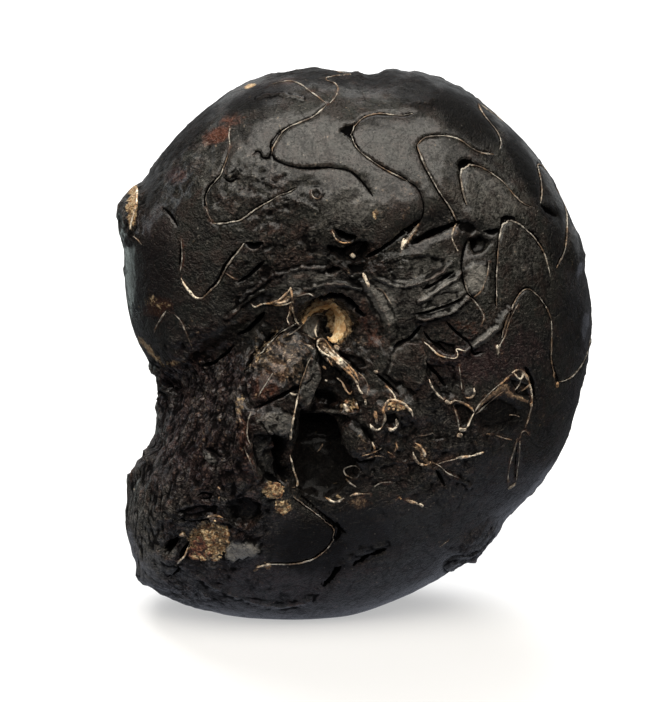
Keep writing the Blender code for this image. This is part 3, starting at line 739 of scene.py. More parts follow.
# Pockets of crystals: corners, number of lumps, and the smallest and largest radius (pixels).
MOUTH_POCKET = (((206, 523), (218, 520), (227, 526), (230, 537), (226, 551), (220, 560), (204, 561),
                 (189, 558), (189, 550), (198, 535)), 150, 1.4, 3.1)
POCKETS = {
    "over the belly": (((265, 484), (277, 481), (285, 489), (281, 498), (268, 500)), 36, 1.2, 2.4),
    "over the belly, lower": (((277, 500), (288, 502), (289, 510), (283, 517), (276, 508)),
                              30, 1.3, 2.8),
    "small spot": (((372, 212), (378, 211), (378, 219), (374, 219)), 7, 1.0, 1.8),
    "frill": (((385, 405), (396, 399), (410, 407), (404, 411), (388, 410)), 26, 1.0, 2.0),
    "frill by the flap": (((341, 403), (351, 400), (356, 408), (346, 411)), 14, 1.0, 2.0),
}

# Studio lights: place and aim (metres), size, power and tint.
WHITE = (1, 1, 1)
LIGHTS = {
    "softbox": ((-0.04, -0.32, 0.54), (0, 0, 0.03), (0.86, 0.60), 7.0, (1.0, 0.95, 0.87)),
    "right panel": ((0.42, -0.20, 0.45), (0, 0, 0.03), (0.26, 0.26), 0.3, (1.0, 0.96, 0.90)),
    "top panel": ((0.03, 0.38, 0.66), (0, 0, 0.03), (0.6, 0.4), 1.4, WHITE),
    "backdrop": ((0.0, 1.0, 0.40), (0, 0, 0.20), (2.6, 0.8), 3.0, (0.95, 0.98, 1.0)),
    "left strip": ((-0.60, 0.10, 0.25), (0, 0, 0.03), (0.10, 0.40), 0.35, (0.9, 0.95, 1.0)),
    "table light": ((-0.12, 0.90, 0.85), (0, 0, 0), (0.9, 0.9), 28.0, WHITE),
}
# Sheets that the stone mirrors: middle (metres), half width, glow and tint. The dimmer ones stand
# in for the floor, as black flags would dim it, and the others give the stone's sides their sheen.
COOL = (0.80, 0.85, 1.0, 1)
NEUTRAL = (0.86, 1.0, 0.96, 1)
MIRRORED_SHEETS = {
    "dimmed_floor": ((0, 0, -0.02 * MM), 3.0, 0.04, COOL),
    "near_floor": ((0, 0, -0.01 * MM), 0.042, 0.32, COOL),
    "left_sheen": ((-0.126, 0.152, -0.01 * MM), 0.046, 1.2, NEUTRAL),
    "right_sheen": ((0.165, 0.125, -0.01 * MM), 0.045, 0.5, COOL),
}


def view_axes():
    """Right, up and back of the camera."""
    turn = math.radians(VIEW_AZIMUTH)
    lift = math.radians(VIEW_ELEVATION)
    back = Vector((math.sin(turn) * math.cos(lift), -math.cos(turn) * math.cos(lift),
                   math.sin(lift)))
    right = Vector((math.cos(turn), math.sin(turn), 0))
    return right, back.cross(right), back


RIGHT, UP, BACK = view_axes()
EYE = VIEW_TARGET + BACK * VIEW_DISTANCE
FOCAL_PIXELS = PIXELS_PER_METRE * VIEW_DISTANCE


def sight(across, down):
    """Direction from the eye through a pixel."""
    run = (across - PICTURE_WIDTH / 2) / FOCAL_PIXELS
    rise = (PICTURE_HEIGHT / 2 - down) / FOCAL_PIXELS
    return (RIGHT * run + UP * rise - BACK).normalized()


def pixels_of(points):
    """Where points of the stone land in the picture."""
    away = points - np.array(EYE)
    depth = -away @ np.array(BACK)
    across = PICTURE_WIDTH / 2 + FOCAL_PIXELS * (away @ np.array(RIGHT)) / depth
    down = PICTURE_HEIGHT / 2 - FOCAL_PIXELS * (away @ np.array(UP)) / depth
    return across, down


def smooth(value, low, high):
    """A soft step from 0 at low to 1 at high."""
    share = np.clip((value - low) / (high - low), 0, 1)
    return share * share * (3 - 2 * share)


def grain(points, spacing, octaves, shift):
    """Fractal noise of about -1 to 1 at the points."""
    moved = points / spacing + shift
    return np.array([noise.fractal(Vector(p), 1.0, 2.0, octaves) for p in moved])


def billows(points, spacing, octaves, shift):
    """Rounded swellings of 0 to about 1, parted by sharp creases."""
    height = np.zeros(len(points))
    for octave in range(octaves):
        moved = points / spacing * 2.1 ** octave + shift + 9.0 * octave
        swell = np.array([abs(noise.noise(Vector(p))) for p in moved])
        height += 2.0 * swell / 1.8 ** octave
    return height * 0.5


def new_piece(name, mesh, finish):
    """Puts a finished mesh on the root body, shaded smooth."""
    piece = bpy.data.objects.new(name, mesh)
    bpy.context.scene.collection.objects.link(piece)
    mesh.materials.clear()
    mesh.materials.append(finish)
    for face in mesh.polygons:
        face.use_smooth = True
    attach(piece, "root")
    return piece


def settled(holder):
    """The mesh that an object comes to with its modifiers; the object itself goes."""
    bpy.context.scene.collection.objects.link(holder)
    graph = bpy.context.evaluated_depsgraph_get()
    mesh = bpy.data.meshes.new_from_object(holder.evaluated_get(graph))
    bpy.data.objects.remove(holder)
    return mesh


def subdivided(mesh, levels):
    """The mesh after a subdivision surface."""
    holder = bpy.data.objects.new("holder", mesh)
    surface = holder.modifiers.new("surface", "SUBSURF")
    surface.levels = levels
    surface.render_levels = levels
    return settled(holder)


def merged_skin(solid):
    """A merged copy of the solid's skin, in quads, with a crease round its flat base."""
    mesh = solid.data.copy()
    for layer in [a.name for a in mesh.attributes if a.name.startswith(("custom", "sharp", "UV"))]:
        mesh.attributes.remove(mesh.attributes[layer])
    form = bmesh.new()
    form.from_mesh(mesh)
    bmesh.ops.remove_doubles(form, verts=form.verts, dist=1e-6)
    bmesh.ops.join_triangles(form, faces=form.faces, angle_face_threshold=0.9,
                             angle_shape_threshold=1.2, cmp_seam=False, cmp_sharp=False,
                             cmp_uvs=False, cmp_vcols=False, cmp_materials=False)
    crease = form.edges.layers.float.new("crease_edge")
    for edge in form.edges:
        under = [face.normal.z < -0.99 and face.calc_center_median().z < 0.05 * MM
                 for face in edge.link_faces]
        if any(under) and not all(under):
            edge[crease] = 1.0
    form.to_mesh(mesh)
    form.free()
    return mesh


def tree_of(mesh):
    """A search tree over a mesh's faces."""
    form = bmesh.new()
    form.from_mesh(mesh)
    tree = BVHTree.FromBMesh(form)
    form.free()
    return tree


def spots_tree(spots):
    """A search tree over places."""
    tree = KDTree(len(spots))
    for index, spot in enumerate(spots):
        tree.insert(spot, index)
    tree.balance()
    return tree


def smooth_path(corners):
    """A Catmull-Rom curve through the corners, in steps of about 1."""
    points = [Vector(c) for c in corners]
    points = [points[0] * 2 - points[1]] + points + [points[-1] * 2 - points[-2]]
    path = []
    for before, start, end, after in zip(points, points[1:], points[2:], points[3:]):
        pieces = max(1, round((end - start).length))
        for part in range(pieces):
            t = part / pieces
            path.append(0.5 * (2 * start + (end - before) * t
                               + (2 * before - 5 * start + 4 * end - after) * t ** 2
                               + (3 * start - before - 3 * end + after) * t ** 3))
    return path + [points[-2]]


def cast_line(tree, corners):
    """Points and normals where a line of pixels meets the stone."""
    hits = []
    for spot in smooth_path(corners):
        place, normal, _, _ = tree.ray_cast(EYE, sight(spot.x, spot.y))
        if place is not None:
            hits.append((np.array(place), np.array(normal)))
    places = np.array([h[0] for h in hits])
    normals = np.array([h[1] for h in hits])
    for _ in range(2):
        places[1:-1] = (places[:-2] + 2 * places[1:-1] + places[2:]) / 4
        normals[1:-1] = (normals[:-2] + 2 * normals[1:-1] + normals[2:]) / 4
    return places, normals / np.linalg.norm(normals, axis=1)[:, None]


def far_twin(tree, places):
    """The same line on the far flank."""
    hits = [tree.find_nearest(Vector((x, 2 * MIDDLE_Y - y, z))) for x, y, z in places]
    return np.array([hit[0] for hit in hits]), np.array([hit[1] for hit in hits])


def crossing(tree, start, dip):
    """A suture's run over the shell's back, from a spot on the front flank to its twin."""
    across = start[0] - AXIS_X
    above = start[2] - AXIS_Z
    angle = math.atan2(above, across)
    spots = []
    notch, notch_width = CROSSING_NOTCH
    for part in range(CROSSING_STEPS + 1):
        share = part / CROSSING_STEPS
        dent = notch * math.exp(-((share - 0.5) / notch_width) ** 2)
        lobe = math.sin(math.pi * share) ** 2 * (1 - dent)
        turn = angle + math.radians(dip * lobe)
        aside = start[1] + (2 * MIDDLE_Y - 2 * start[1]) * share
        outward = Vector((math.cos(turn), 0, math.sin(turn)))
        origin = Vector((AXIS_X, aside, AXIS_Z)) + outward * OUTSIDE
        place, normal, _, _ = tree.ray_cast(origin, -outward)
        if place is not None:
            spots.append((np.array(place), np.array(normal)))
    return np.array([s[0] for s in spots]), np.array([s[1] for s in spots])


def left_of(places, normals):
    """Unit vectors to the left along a line lying on the stone."""
    ahead = np.gradient(places, axis=0)
    side = np.cross(normals, ahead)
    return side / (np.linalg.norm(side, axis=1)[:, None] + 1e-12)


def bridged(tree, places, normals):
    """The line lifted out of its groove, level with the stone on both sides."""
    aside = left_of(places, normals) * GROOVE_REACH
    banks = [(tree.find_nearest(Vector(p + a)), tree.find_nearest(Vector(p - a)))
             for p, a in zip(places, aside)]
    middles = np.array([(left[0] + right[0]) / 2 for left, right in banks])
    upward = np.array([(left[1] + right[1]).normalized() for left, right in banks])
    middles[1:-1] = (middles[:-2] + 2 * middles[1:-1] + middles[2:]) / 4
    return middles, upward


class Cracks:
    """Every crack on the stone: its run of points, half width and depth."""

    def __init__(self):
        self.starts = []
        self.ends = []
        self.widths = []
        self.depths = []

    def add(self, places, half_width, depth):
        """Adds one crack, thinning out at both ends."""
        along = np.arange(len(places))
        taper = smooth(np.minimum(along, len(places) - 1 - along) + 1.0, 0, CRACK_TAPER)
        wander = np.array([noise.noise(Vector(p) / CRACK_WANDER) for p in places])
        width = half_width * (1 + 0.55 * wander) * (0.45 + 0.55 * taper)
        self.starts += list(places[:-1])
        self.ends += list(places[1:])
        self.widths += list(width[:-1])
        self.depths += list((depth * (1 + 0.4 * wander) * taper)[:-1])

    def close(self):
        """Readies the cracks for searching."""
        self.starts = np.array(self.starts)
        self.ends = np.array(self.ends)
        self.widths = np.array(self.widths)
        self.depths = np.array(self.depths)
        self.tree = spots_tree((self.starts + self.ends) / 2)

    def near(self, points):
        """The nearest spot of a crack to each point, its distance, half width and depth."""
        found = [self.tree.find_n(Vector(p), 3) for p in points]
        best = np.full(len(points), 1.0)
        spots = np.zeros((len(points), 3))
        picks = np.zeros(len(points), int)
        for rank in range(3):
            index = np.array([f[rank][1] for f in found])
            start = self.starts[index]
            run = self.ends[index] - start
            share = ((points - start) * run).sum(1) / ((run * run).sum(1) + 1e-18)
            spot = start + run * np.clip(share, 0, 1)[:, None]
            distance = np.linalg.norm(points - spot, axis=1)
            closer = distance < best
            best[closer] = distance[closer]
            spots[closer] = spot[closer]
            picks[closer] = index[closer]
        return spots, best, self.widths[picks], self.depths[picks]


def patch_share(patch, across, down, wander):
    """How far each point lies in a patch, from 0 to the patch's strength."""
    middle_x, middle_y, half_x, half_y, tilt, soft, strength = patch
    turn = math.radians(tilt)
    along = ((across - middle_x) * math.cos(turn) + (down - middle_y) * math.sin(turn)) / half_x
    aside = ((down - middle_y) * math.cos(turn) - (across - middle_x) * math.sin(turn)) / half_y
    reach = np.sqrt(along ** 2 + aside ** 2) + 0.25 * wander
    return strength * smooth(-reach, -1 - soft, -1 + soft)


def patches_share(patches, across, down, wander):
    """How far each point lies in any of the patches."""
    return np.max([patch_share(patch, across, down, wander) for patch in patches], axis=0)


def side_distance(across, down, start, end):
    """Pixels from each point to the straight run between two corners."""
    run_x, run_y = end[0] - start[0], end[1] - start[1]
    off_x, off_y = across - start[0], down - start[1]
    share = np.clip((off_x * run_x + off_y * run_y) / (run_x ** 2 + run_y ** 2), 0, 1)
    return np.hypot(off_x - share * run_x, off_y - share * run_y)


def edge_distance(across, down, corners):
    """Pixels from each point to a closed outline, above zero inside it."""
    inside = np.zeros(len(across), bool)
    sides = list(zip(corners, corners[1:] + corners[:1]))
    for (x0, y0), (x1, y1) in sides:
        if y0 != y1:
            passed = (y0 > down) != (y1 > down)
            inside ^= passed & (across < x0 + (down - y0) * (x1 - x0) / (y1 - y0))
    nearest = np.min([side_distance(across, down, start, end) for start, end in sides], axis=0)
    return np.where(inside, nearest, -nearest)


def line_distance(across, down, points):
    """Pixels from each point to an open line."""
    return np.min([side_distance(across, down, start, end)
                   for start, end in zip(points, points[1:])], axis=0)


def arrays_of(mesh):
    """Points and normals of a mesh's vertices."""
    points = np.zeros(len(mesh.vertices) * 3)
    mesh.vertices.foreach_get("co", points)
    normals = np.array([v.normal for v in mesh.vertices])
    return points.reshape(-1, 3), normals


def facing_eye(points, normals):
    """1 on the side that the camera sees, 0 behind."""
    to_eye = np.array(EYE) - points
    to_eye /= np.linalg.norm(to_eye, axis=1)[:, None]
    return smooth((normals * to_eye).sum(1), -0.10, 0.10)


def quartered(mesh, wanted):
    """The mesh with the faces between the wanted vertices cut in four."""
    form = bmesh.new()
    form.from_mesh(mesh)
    form.verts.ensure_lookup_table()
    edges = [edge for edge in form.edges
             if wanted[edge.verts[0].index] and wanted[edge.verts[1].index]]
    bmesh.ops.subdivide_edges(form, edges=edges, cuts=1, use_grid_fill=True)
    bmesh.ops.triangulate(form, faces=[f for f in form.faces if len(f.verts) > 4])
    form.to_mesh(mesh)
    form.free()
    return mesh


def refined(mesh, cracks, target):
    """The skin cut finer on the front, and finest in broken rock and along the cracks."""
    points, normals = arrays_of(mesh)
    hidden = hidden_breaks(points)
    _, distance, _, _ = cracks.near(points)
    mesh = quartered(mesh, (facing_eye(points, normals) > 0.05) | (distance < FINE_REACH)
                     | (np.maximum(hidden, across_breaks(points)) > FINE_BREAK))
    points, normals = arrays_of(mesh)
    across, down = pixels_of(points)
    wanted = patches_share(ROUGH_PATCHES.values(), across, down, 0) > FINEST_BREAK
    for _, edge, _, corners in PLATES.values():
        wanted |= np.abs(edge_distance(across, down, corners)) < edge * 0.5 + 1.6
    for half_width, _, line in list(CRESTS.values()) + list(BANDS.values()):
        wanted |= line_distance(across, down, line) < half_width + 0.6
    in_front = facing_eye(points, normals) > 0.3
    _, distance, _, _ = cracks.near(points)
    wanted &= in_front
    wanted |= distance < np.where(in_front, FINEST_REACH, FINEST_REACH_BEHIND)
    mesh = quartered(mesh, wanted)
    for vertex in mesh.vertices:
        place, _, _, _ = target.find_nearest(vertex.co)
        vertex.co = place
    mesh.update()
    return mesh


def hidden_breaks(points):
    """Where the skin that the camera doesn't see is broken, 0 to 1."""
    return smooth(grain(points, *HIDDEN_BREAKS), 0.12, 0.42)


def across_breaks(points):
    """Where the far flank is broken as the front is, 0 to 1: the breaks go through the shell."""
    twins = points * np.array([1, -1, 1]) + np.array([0, 2 * MIDDLE_Y, 0])
    across, down = pixels_of(twins)
    patches = [ROUGH_PATCHES[name] for name in BREAKS_THROUGH]
    return patches_share(patches, across, down, grain(points, *FAR_WANDER))


def streaks(points, share, slope, spacing):
    """Swellings drawn out along a slope of the front, worked out only where they show."""
    lean = math.radians(slope)
    along = points[:, 0] * math.cos(lean) + points[:, 2] * math.sin(lean)
    aside = points[:, 2] * math.cos(lean) - points[:, 0] * math.sin(lean)
    drawn = np.stack([along / STREAK_LENGTH, aside, points[:, 1]], axis=1)
    height = np.zeros(len(points))
    shown = share > 0.01
    if shown.any():
        height[shown] = billows(drawn[shown], spacing, 3, STREAK_SHIFT) - MEAN_SWELL
    return height * share


def put_attribute(mesh, name, values):
    """Keeps one number per vertex for the finishes to read."""
    layer = mesh.attributes.new(name, "FLOAT", "POINT")
    layer.data.foreach_set("value", np.asarray(values, dtype=np.float32))


def band(distance, middle, width):
    """1 at the given distance, fading to 0 on both sides."""
    return np.exp(-((distance - middle) / width) ** 2)


def front_forms(points, across, down, facing, wander, fine_wander):
    """Height of the front flank's lumps, plates, crests and bands, light and shade painted on their
    edges, shade painted into the hollows, and shell stain.

    The rims of the forms are painted pale as a highlight, and their feet dark as shade.
    """
    form = np.zeros(len(points))
    rim = np.zeros(len(points))
    painted_shade = np.zeros(len(points))
    shell = np.zeros(len(points))
    for height, patch in LUMPS.values():
        form += patch_share(patch, across, down, wander + 0.6 * fine_wander) * height * MM
    shaken_x = across + OUTLINE_SHAKE * (wander + fine_wander)
    shaken_y = down + OUTLINE_SHAKE * (grain(points, *SHAKE) + grain(points, *FINE_SHAKE))
    for height, edge, dark, corners in PLATES.values():
        inside = edge_distance(shaken_x, shaken_y, corners)
        share = smooth(inside, -0.5 * edge, 0.5 * edge)
        form += facing * share * height * MM
        # Painted shade: a sunken plate is darkened as far as its darkness says.
        painted_shade = np.maximum(painted_shade, facing * share * dark)
        top = math.copysign(0.5 * edge, height)
        # Painted highlight along the rim of a plate, painted shade round its foot.
        worn = (0.8 if height > 0 else 0.3) * band(inside, top, 1.2) - band(inside, -top, 1.3)
        rim += facing * worn * min(1, abs(height) / 0.4)
    for half_width, height, line in CRESTS.values():
        away = line_distance(shaken_x, shaken_y, line)
        form += facing * smooth(-away, -half_width, 0) * height * MM
        # Painted highlight along a crest, painted shade along its feet.
        rim += facing * (0.8 * band(away, 0, 1.4) - 0.7 * band(away, half_width + 0.4, 1.2))
    for half_width, height, line in BANDS.values():
        away = line_distance(shaken_x, shaken_y, line)
        share = smooth(-away, -half_width - 0.7, -half_width + 0.9)
        form += facing * share * height * MM
        shell = np.maximum(shell, facing * share)
    return form, rim, painted_shade, shell


def carve(mesh, cracks, shell_places):
    """Shapes the stone's skin: broken rock, plates, crests, pillowed chambers and open cracks.

    The stone is stained next to the given places, where shell sticks out of it.
    """
    points, normals = arrays_of(mesh)
    spots, distance, width, depth = cracks.near(points)
    # Points next to a crack move onto it, so that its bed is one clean line.
    shift = spots - points
    shift -= normals * (shift * normals).sum(1)[:, None]
    pull = smooth(-distance, -0.15 * MM, -0.08 * MM)
    points = points + shift * pull[:, None]
    distance = distance * (1 - pull)

    across, down = pixels_of(points)
    facing = facing_eye(points, normals)
    wander = grain(points, *WANDER)
    fine_wander = grain(points, *FINE_WANDER)
    ragged = wander + 0.6 * fine_wander
    hidden = hidden_breaks(points)
    shares = {}
    for name, patches in (("rough", ROUGH_PATCHES), ("gloss", GLOSS_PATCHES),
                          ("grey", GREY_PATCHES), ("dark", BLACK_AND_SHADED_PATCHES), ("rust", RUST_PATCHES),
                          ("purple", PURPLE_PATCHES), ("ochre", OCHRE_PATCHES),
                          ("shell", TAN_PATCHES)):
        shares[name] = facing * patches_share(patches.values(), across, down, ragged)
    shares["rough"] = np.maximum(shares["rough"],
                                 (1 - facing) * np.maximum(hidden, across_breaks(points)) * 0.8)
    shares["gloss"] = np.maximum(shares["gloss"], (1 - facing) * (1 - hidden) * 0.6)
    near_shell = np.array([shell_places.find(Vector(p))[2] for p in points])
    shares["rust"] = np.maximum(shares["rust"], STAIN_STRENGTH * band(near_shell, 0, STAIN_REACH))

    form, rim, shares["painted_shade"], shell = front_forms(points, across, down, facing, wander,
                                                    fine_wander)
    shares["shell"] = np.maximum(shares["shell"], shell)
    rough = shares["rough"] * (1 - 0.3 * shares["painted_shade"]) * (1 - 0.6 * shares["grey"])
    shares["rough"] = rough
    swells = billows(points, *SWELLS)
    lumps = grain(points, *LUMP_GRAIN)
    waves = grain(points, *WAVES)
    crinkles = 1 - CRINKLE_SHARPNESS * np.abs(grain(points, *CRINKLES))
    broken = SWELL_HEIGHT * (swells - MEAN_SWELL) + LUMP_HEIGHT * lumps
    broken += WAVE_HEIGHT * waves + CRINKLE_HEIGHT * crinkles
    whole = WORN_WAVE_HEIGHT * waves + WORN_LUMP_HEIGHT * lumps
    flow = np.zeros(len(points))
    for patch, slope, spacing in FLOW_PATCHES.values():
        share = facing * patch_share(patch, across, down, ragged)
        flow += STREAK_HEIGHT * spacing * streaks(points, share, slope, spacing * MM)
    relief = rough * broken + flow + (1 - rough) * whole
    pillow = -PILLOW_HEIGHT * np.exp(-distance / PILLOW_REACH) * (1 - 0.5 * rough)
    groove = -depth * smooth(-distance / width, -1.15, -0.1)
    base = smooth(points[:, 2], 0.05 * MM, BASE_FADE)
    height = (relief + pillow + form + groove) * base
    points = points + normals * height[:, None]
    points[:, 2] = np.maximum(points[:, 2], 0)
    mesh.vertices.foreach_set("co", points.ravel())
    mesh.update()
    for name, values in shares.items():
        put_attribute(mesh, name, values)
    put_attribute(mesh, "crack", np.clip(distance / width, 0, 4))
    # How far each point stands out of the rock or sinks into it, with the rims' painted light and
    # shade; the finish paints a highlight where this is high and shade where it is low.
    worn = rough * ((swells - 0.42) / 0.35 + 0.5 * crinkles) + flow / CRINKLE_HEIGHT + rim
    put_attribute(mesh, "crest", np.clip(worn, -1, 1))
    return mesh


def shell_walls(name, lines, finish, proud):
    """Thin raised walls of pale shell along the lines, waning and breaking here and there."""
    curve = bpy.data.curves.new(name, "CURVE")
    curve.dimensions = "3D"
    curve.bevel_depth = 1.0
    curve.bevel_resolution = 1
    curve.use_fill_caps = True
    for places, normals, scale in lines:
        run = curve.splines.new("POLY")
        run.points.add(len(places) - 1)
        along = np.arange(len(places))
        taper = smooth(np.minimum(along, len(places) - 1 - along) + 0.7, 0, min(8, len(places) / 4))
        for index, point in enumerate(run.points):
            place = Vector(places[index])
            swell = 1 + sum(share * noise.noise(place / spacing) for spacing, share in WALL_SWELLS)
            thickness = max(THINNEST_WALL, swell) * (0.35 + 0.65 * taper[index])
            radius = PALE_HALF_WIDTH * scale * thickness
            spot = place + Vector(normals[index]) * radius * (proud - 0.3 * (1 - taper[index]))
            point.co = (*spot, 1)
            point.radius = radius
    mesh = settled(bpy.data.objects.new("holder", curve))
    mesh.name = name
    return new_piece(name, mesh, finish)


def fused_lumps(name, tree, lumps, finish, flatness, softening=0):
    """Lumps of crust, each at a pixel with a radius in pixels, grown together into one skin."""
    form = bmesh.new()
    for across, down, radius in lumps:
        place, normal, _, _ = tree.ray_cast(EYE, sight(across, down))
        if place is None:
            continue
        size = radius / PIXELS_PER_METRE
        turn = normal.to_track_quat("Z", "Y").to_matrix().to_4x4()
        where = Matrix.Translation(place - normal * size * 0.15) @ turn
        bmesh.ops.create_icosphere(form, subdivisions=2, radius=size,
                                   matrix=where @ Matrix.Diagonal((1.0, 0.9, flatness, 1)))
    mesh = bpy.data.meshes.new(name)
    form.to_mesh(mesh)
    form.free()
    holder = bpy.data.objects.new("holder", mesh)
    skin = holder.modifiers.new("skin", "REMESH")
    skin.mode = "VOXEL"
    skin.voxel_size = CRUST_CELL
    if softening:
        soft = holder.modifiers.new("soft", "SMOOTH")
        soft.iterations = softening
    fused = settled(holder)
    points, normals = arrays_of(fused)
    bumps = grain(points, *CRUST_GRAIN) * CRUST_GRAIN_HEIGHT
    points += normals * bumps[:, None]
    fused.vertices.foreach_set("co", points.ravel())
    fused.update()
    fused.name = name
    return new_piece(name, fused, finish)


def strewn(chance, corners, count, low, high):
    """Lumps strewn over a patch with the given corners."""
    wide = [x for x, _ in corners]
    tall = [y for _, y in corners]
    lumps = []
    while len(lumps) < count:
        spot = (chance.uniform(min(wide), max(wide)), chance.uniform(min(tall), max(tall)))
        if edge_distance(np.array([spot[0]]), np.array([spot[1]]), corners)[0] > 0:
            lumps.append((*spot, chance.uniform(low, high)))
    return lumps


def arched(chance, corners, radii, count, scatter):
    """Lumps along a bent line, whose radius changes from corner to corner."""
    lumps = []
    path = smooth_path([(x, y, r) for (x, y), r in zip(corners, radii)])
    for _ in range(count):
        spot = chance.choice(path)
        lumps.append((spot.x + chance.gauss(0, scatter), spot.y + chance.gauss(0, scatter),
                      spot.z * chance.uniform(0.7, 1.1)))
    return lumps


class Value:
    """A number that a material works out, so that sums can be written as sums."""

    def __init__(self, finish, socket):
        self.finish = finish
        self.socket = socket

    def _sum(self, operation, first, second):
        return self.finish.node("ShaderNodeMath", {"operation": operation}, {0: first, 1: second})

    def __add__(self, other):
        return self._sum("ADD", self, other)

    def __radd__(self, other):
        return self._sum("ADD", other, self)

    def __sub__(self, other):
        return self._sum("SUBTRACT", self, other)

    def __rsub__(self, other):
        return self._sum("SUBTRACT", other, self)

    def __mul__(self, other):
        return self._sum("MULTIPLY", self, other)

    def __rmul__(self, other):
        return self._sum("MULTIPLY", other, self)

    def __abs__(self):
        return self._sum("ABSOLUTE", self, 0.0)


class Finish:
    """A material under the hand: nodes, sums, noise and colour mixes."""

    def __init__(self, name):
        self.material = bpy.data.materials.new(name)
        self.material.use_nodes = True
        self.nodes = self.material.node_tree.nodes
        self.links = self.material.node_tree.links
        self.nodes.clear()
        self.place = self.node("ShaderNodeTexCoord", {}, {}, "Object")

    def node(self, kind, settings, inputs, output=0):
        """Adds a node: its settings, then its sockets' values or links."""
        made = self.nodes.new(kind)
        for setting, value in settings.items():
            setattr(made, setting, value)
        for name, value in inputs.items():
            socket = made.inputs[name]
            if isinstance(value, Value):
                self.links.new(value.socket, socket)
            else:
                socket.default_value = value
        return Value(self, made.outputs[output]) if made.outputs else None

    def kept(self, name):
        """A number kept on the mesh."""
        return self.node("ShaderNodeAttribute", {"attribute_name": name}, {}, "Fac")

    def cloud(self, spacing, detail=3.0, shift=0.0, warp=0.0):
        """Noise of 0 to 1 with the given size of its lumps."""
        place = self.node("ShaderNodeVectorMath", {"operation": "ADD"},
                          {0: self.place, 1: (shift, shift, shift)})
        return self.node("ShaderNodeTexNoise", {}, {"Vector": place, "Scale": 1 / spacing,
                                                    "Detail": detail, "Distortion": warp})

    def scales(self, spacing):
        """Distance to the nearest of scattered points, in their spacing."""
        return self.node("ShaderNodeTexVoronoi", {"feature": "F1"},
                         {"Vector": self.place, "Scale": 1 / spacing})

    def step(self, value, low, high):
        """A soft step from 0 at low to 1 at high."""
        return self.node("ShaderNodeMapRange", {"interpolation_type": "SMOOTHSTEP"},
                         {"Value": value, "From Min": low, "From Max": high}, "Result")

    def blend(self, share, under, over):
        """One colour over another."""
        return self.node("ShaderNodeMix", {"data_type": "RGBA"}, {0: share, 6: under, 7: over}, 2)

    def bump(self, height, distance, strength=1.0):
        """Fine relief."""
        return self.node("ShaderNodeBump", {}, {"Strength": strength, "Distance": distance,
                                                "Height": height})

    def larger(self, first, second):
        """The larger of two numbers."""
        return self.node("ShaderNodeMath", {"operation": "MAXIMUM"}, {0: first, 1: second})

    def shader(self, inputs):
        """A surface shader."""
        return self.node("ShaderNodeBsdfPrincipled", {}, inputs)

    def end(self, surface):
        """Ends the material in the surface's shader."""
        self.node("ShaderNodeOutputMaterial", {}, {"Surface": surface})
        return self.material

    def close(self, inputs):
        """Ends the material in one surface shader."""
        return self.end(self.shader(inputs))


# Colours of the stone, its stains and its shell, and of the shade and highlights painted on it.
BLACK_STONE = (0.0040, 0.0034, 0.0032, 1)
GREY_STONE = (0.0140, 0.0138, 0.0112, 1)
GREEN_STONE = (0.0110, 0.0132, 0.0100, 1)
BROWN_STONE = (0.0230, 0.0115, 0.0090, 1)
# Black of polished stone, also used as painted shade where the black patches lie in hollows and on
# the underside.
POLISHED_BLACK_AND_SHADE = (0.0018, 0.0016, 0.0018, 1)
# Black of the painted shade in cracks, pits and hollows.
SHADE_BLACK = (0.0010, 0.0009, 0.0010, 1)
PALE_GREY = (0.185, 0.178, 0.160, 1)
PALER_GREY = (0.285, 0.268, 0.235, 1)
# Pale and reddish dusting; these are also the colours of highlights painted on crests and crinkles,
# and the pale one of painted glints.
DUST_AND_HIGHLIGHT = (0.25, 0.225, 0.19, 1)
RED_DUST_AND_HIGHLIGHT = (0.20, 0.115, 0.085, 1)
RUST = (0.100, 0.0235, 0.0065, 1)
PURPLE = (0.0260, 0.0095, 0.0110, 1)
SHELL_STAIN = (0.27, 0.170, 0.105, 1)
OCHRE = (0.42, 0.23, 0.10, 1)
PALE_OCHRE = (0.66, 0.49, 0.28, 1)
PALE_WALL = (0.52, 0.48, 0.41, 1)
TAN_WALL = (0.22, 0.145, 0.090, 1)
CREAM_BAR = (0.92, 0.81, 0.64, 1)
BROWN_BAR = (0.46, 0.27, 0.135, 1)
DIRTY_WALL = (0.072, 0.056, 0.045, 1)
WALL_PIT_SHADE = (0.020, 0.016, 0.014, 1)
CRUST_GAP_SHADE = (0.010, 0.006, 0.005, 1)
# Crusts: dark grains, light grains, stain, and how strongly the sunken gaps between the grains are
# painted dark as shade.
CRUSTS = {
    "cream_crust": ((0.84, 0.54, 0.24, 1), (1.0, 0.80, 0.49, 1), (0.66, 0.37, 0.16, 1), 0.08),
    "ochre_crystals": ((0.34, 0.165, 0.060, 1), (0.95, 0.73, 0.42, 1), (0.155, 0.050, 0.020, 1),
                       0.85),
    "rusty_crystals": ((0.10, 0.030, 0.016, 1), (0.42, 0.20, 0.11, 1), (0.07, 0.018, 0.011, 1),
                       0.85),
}


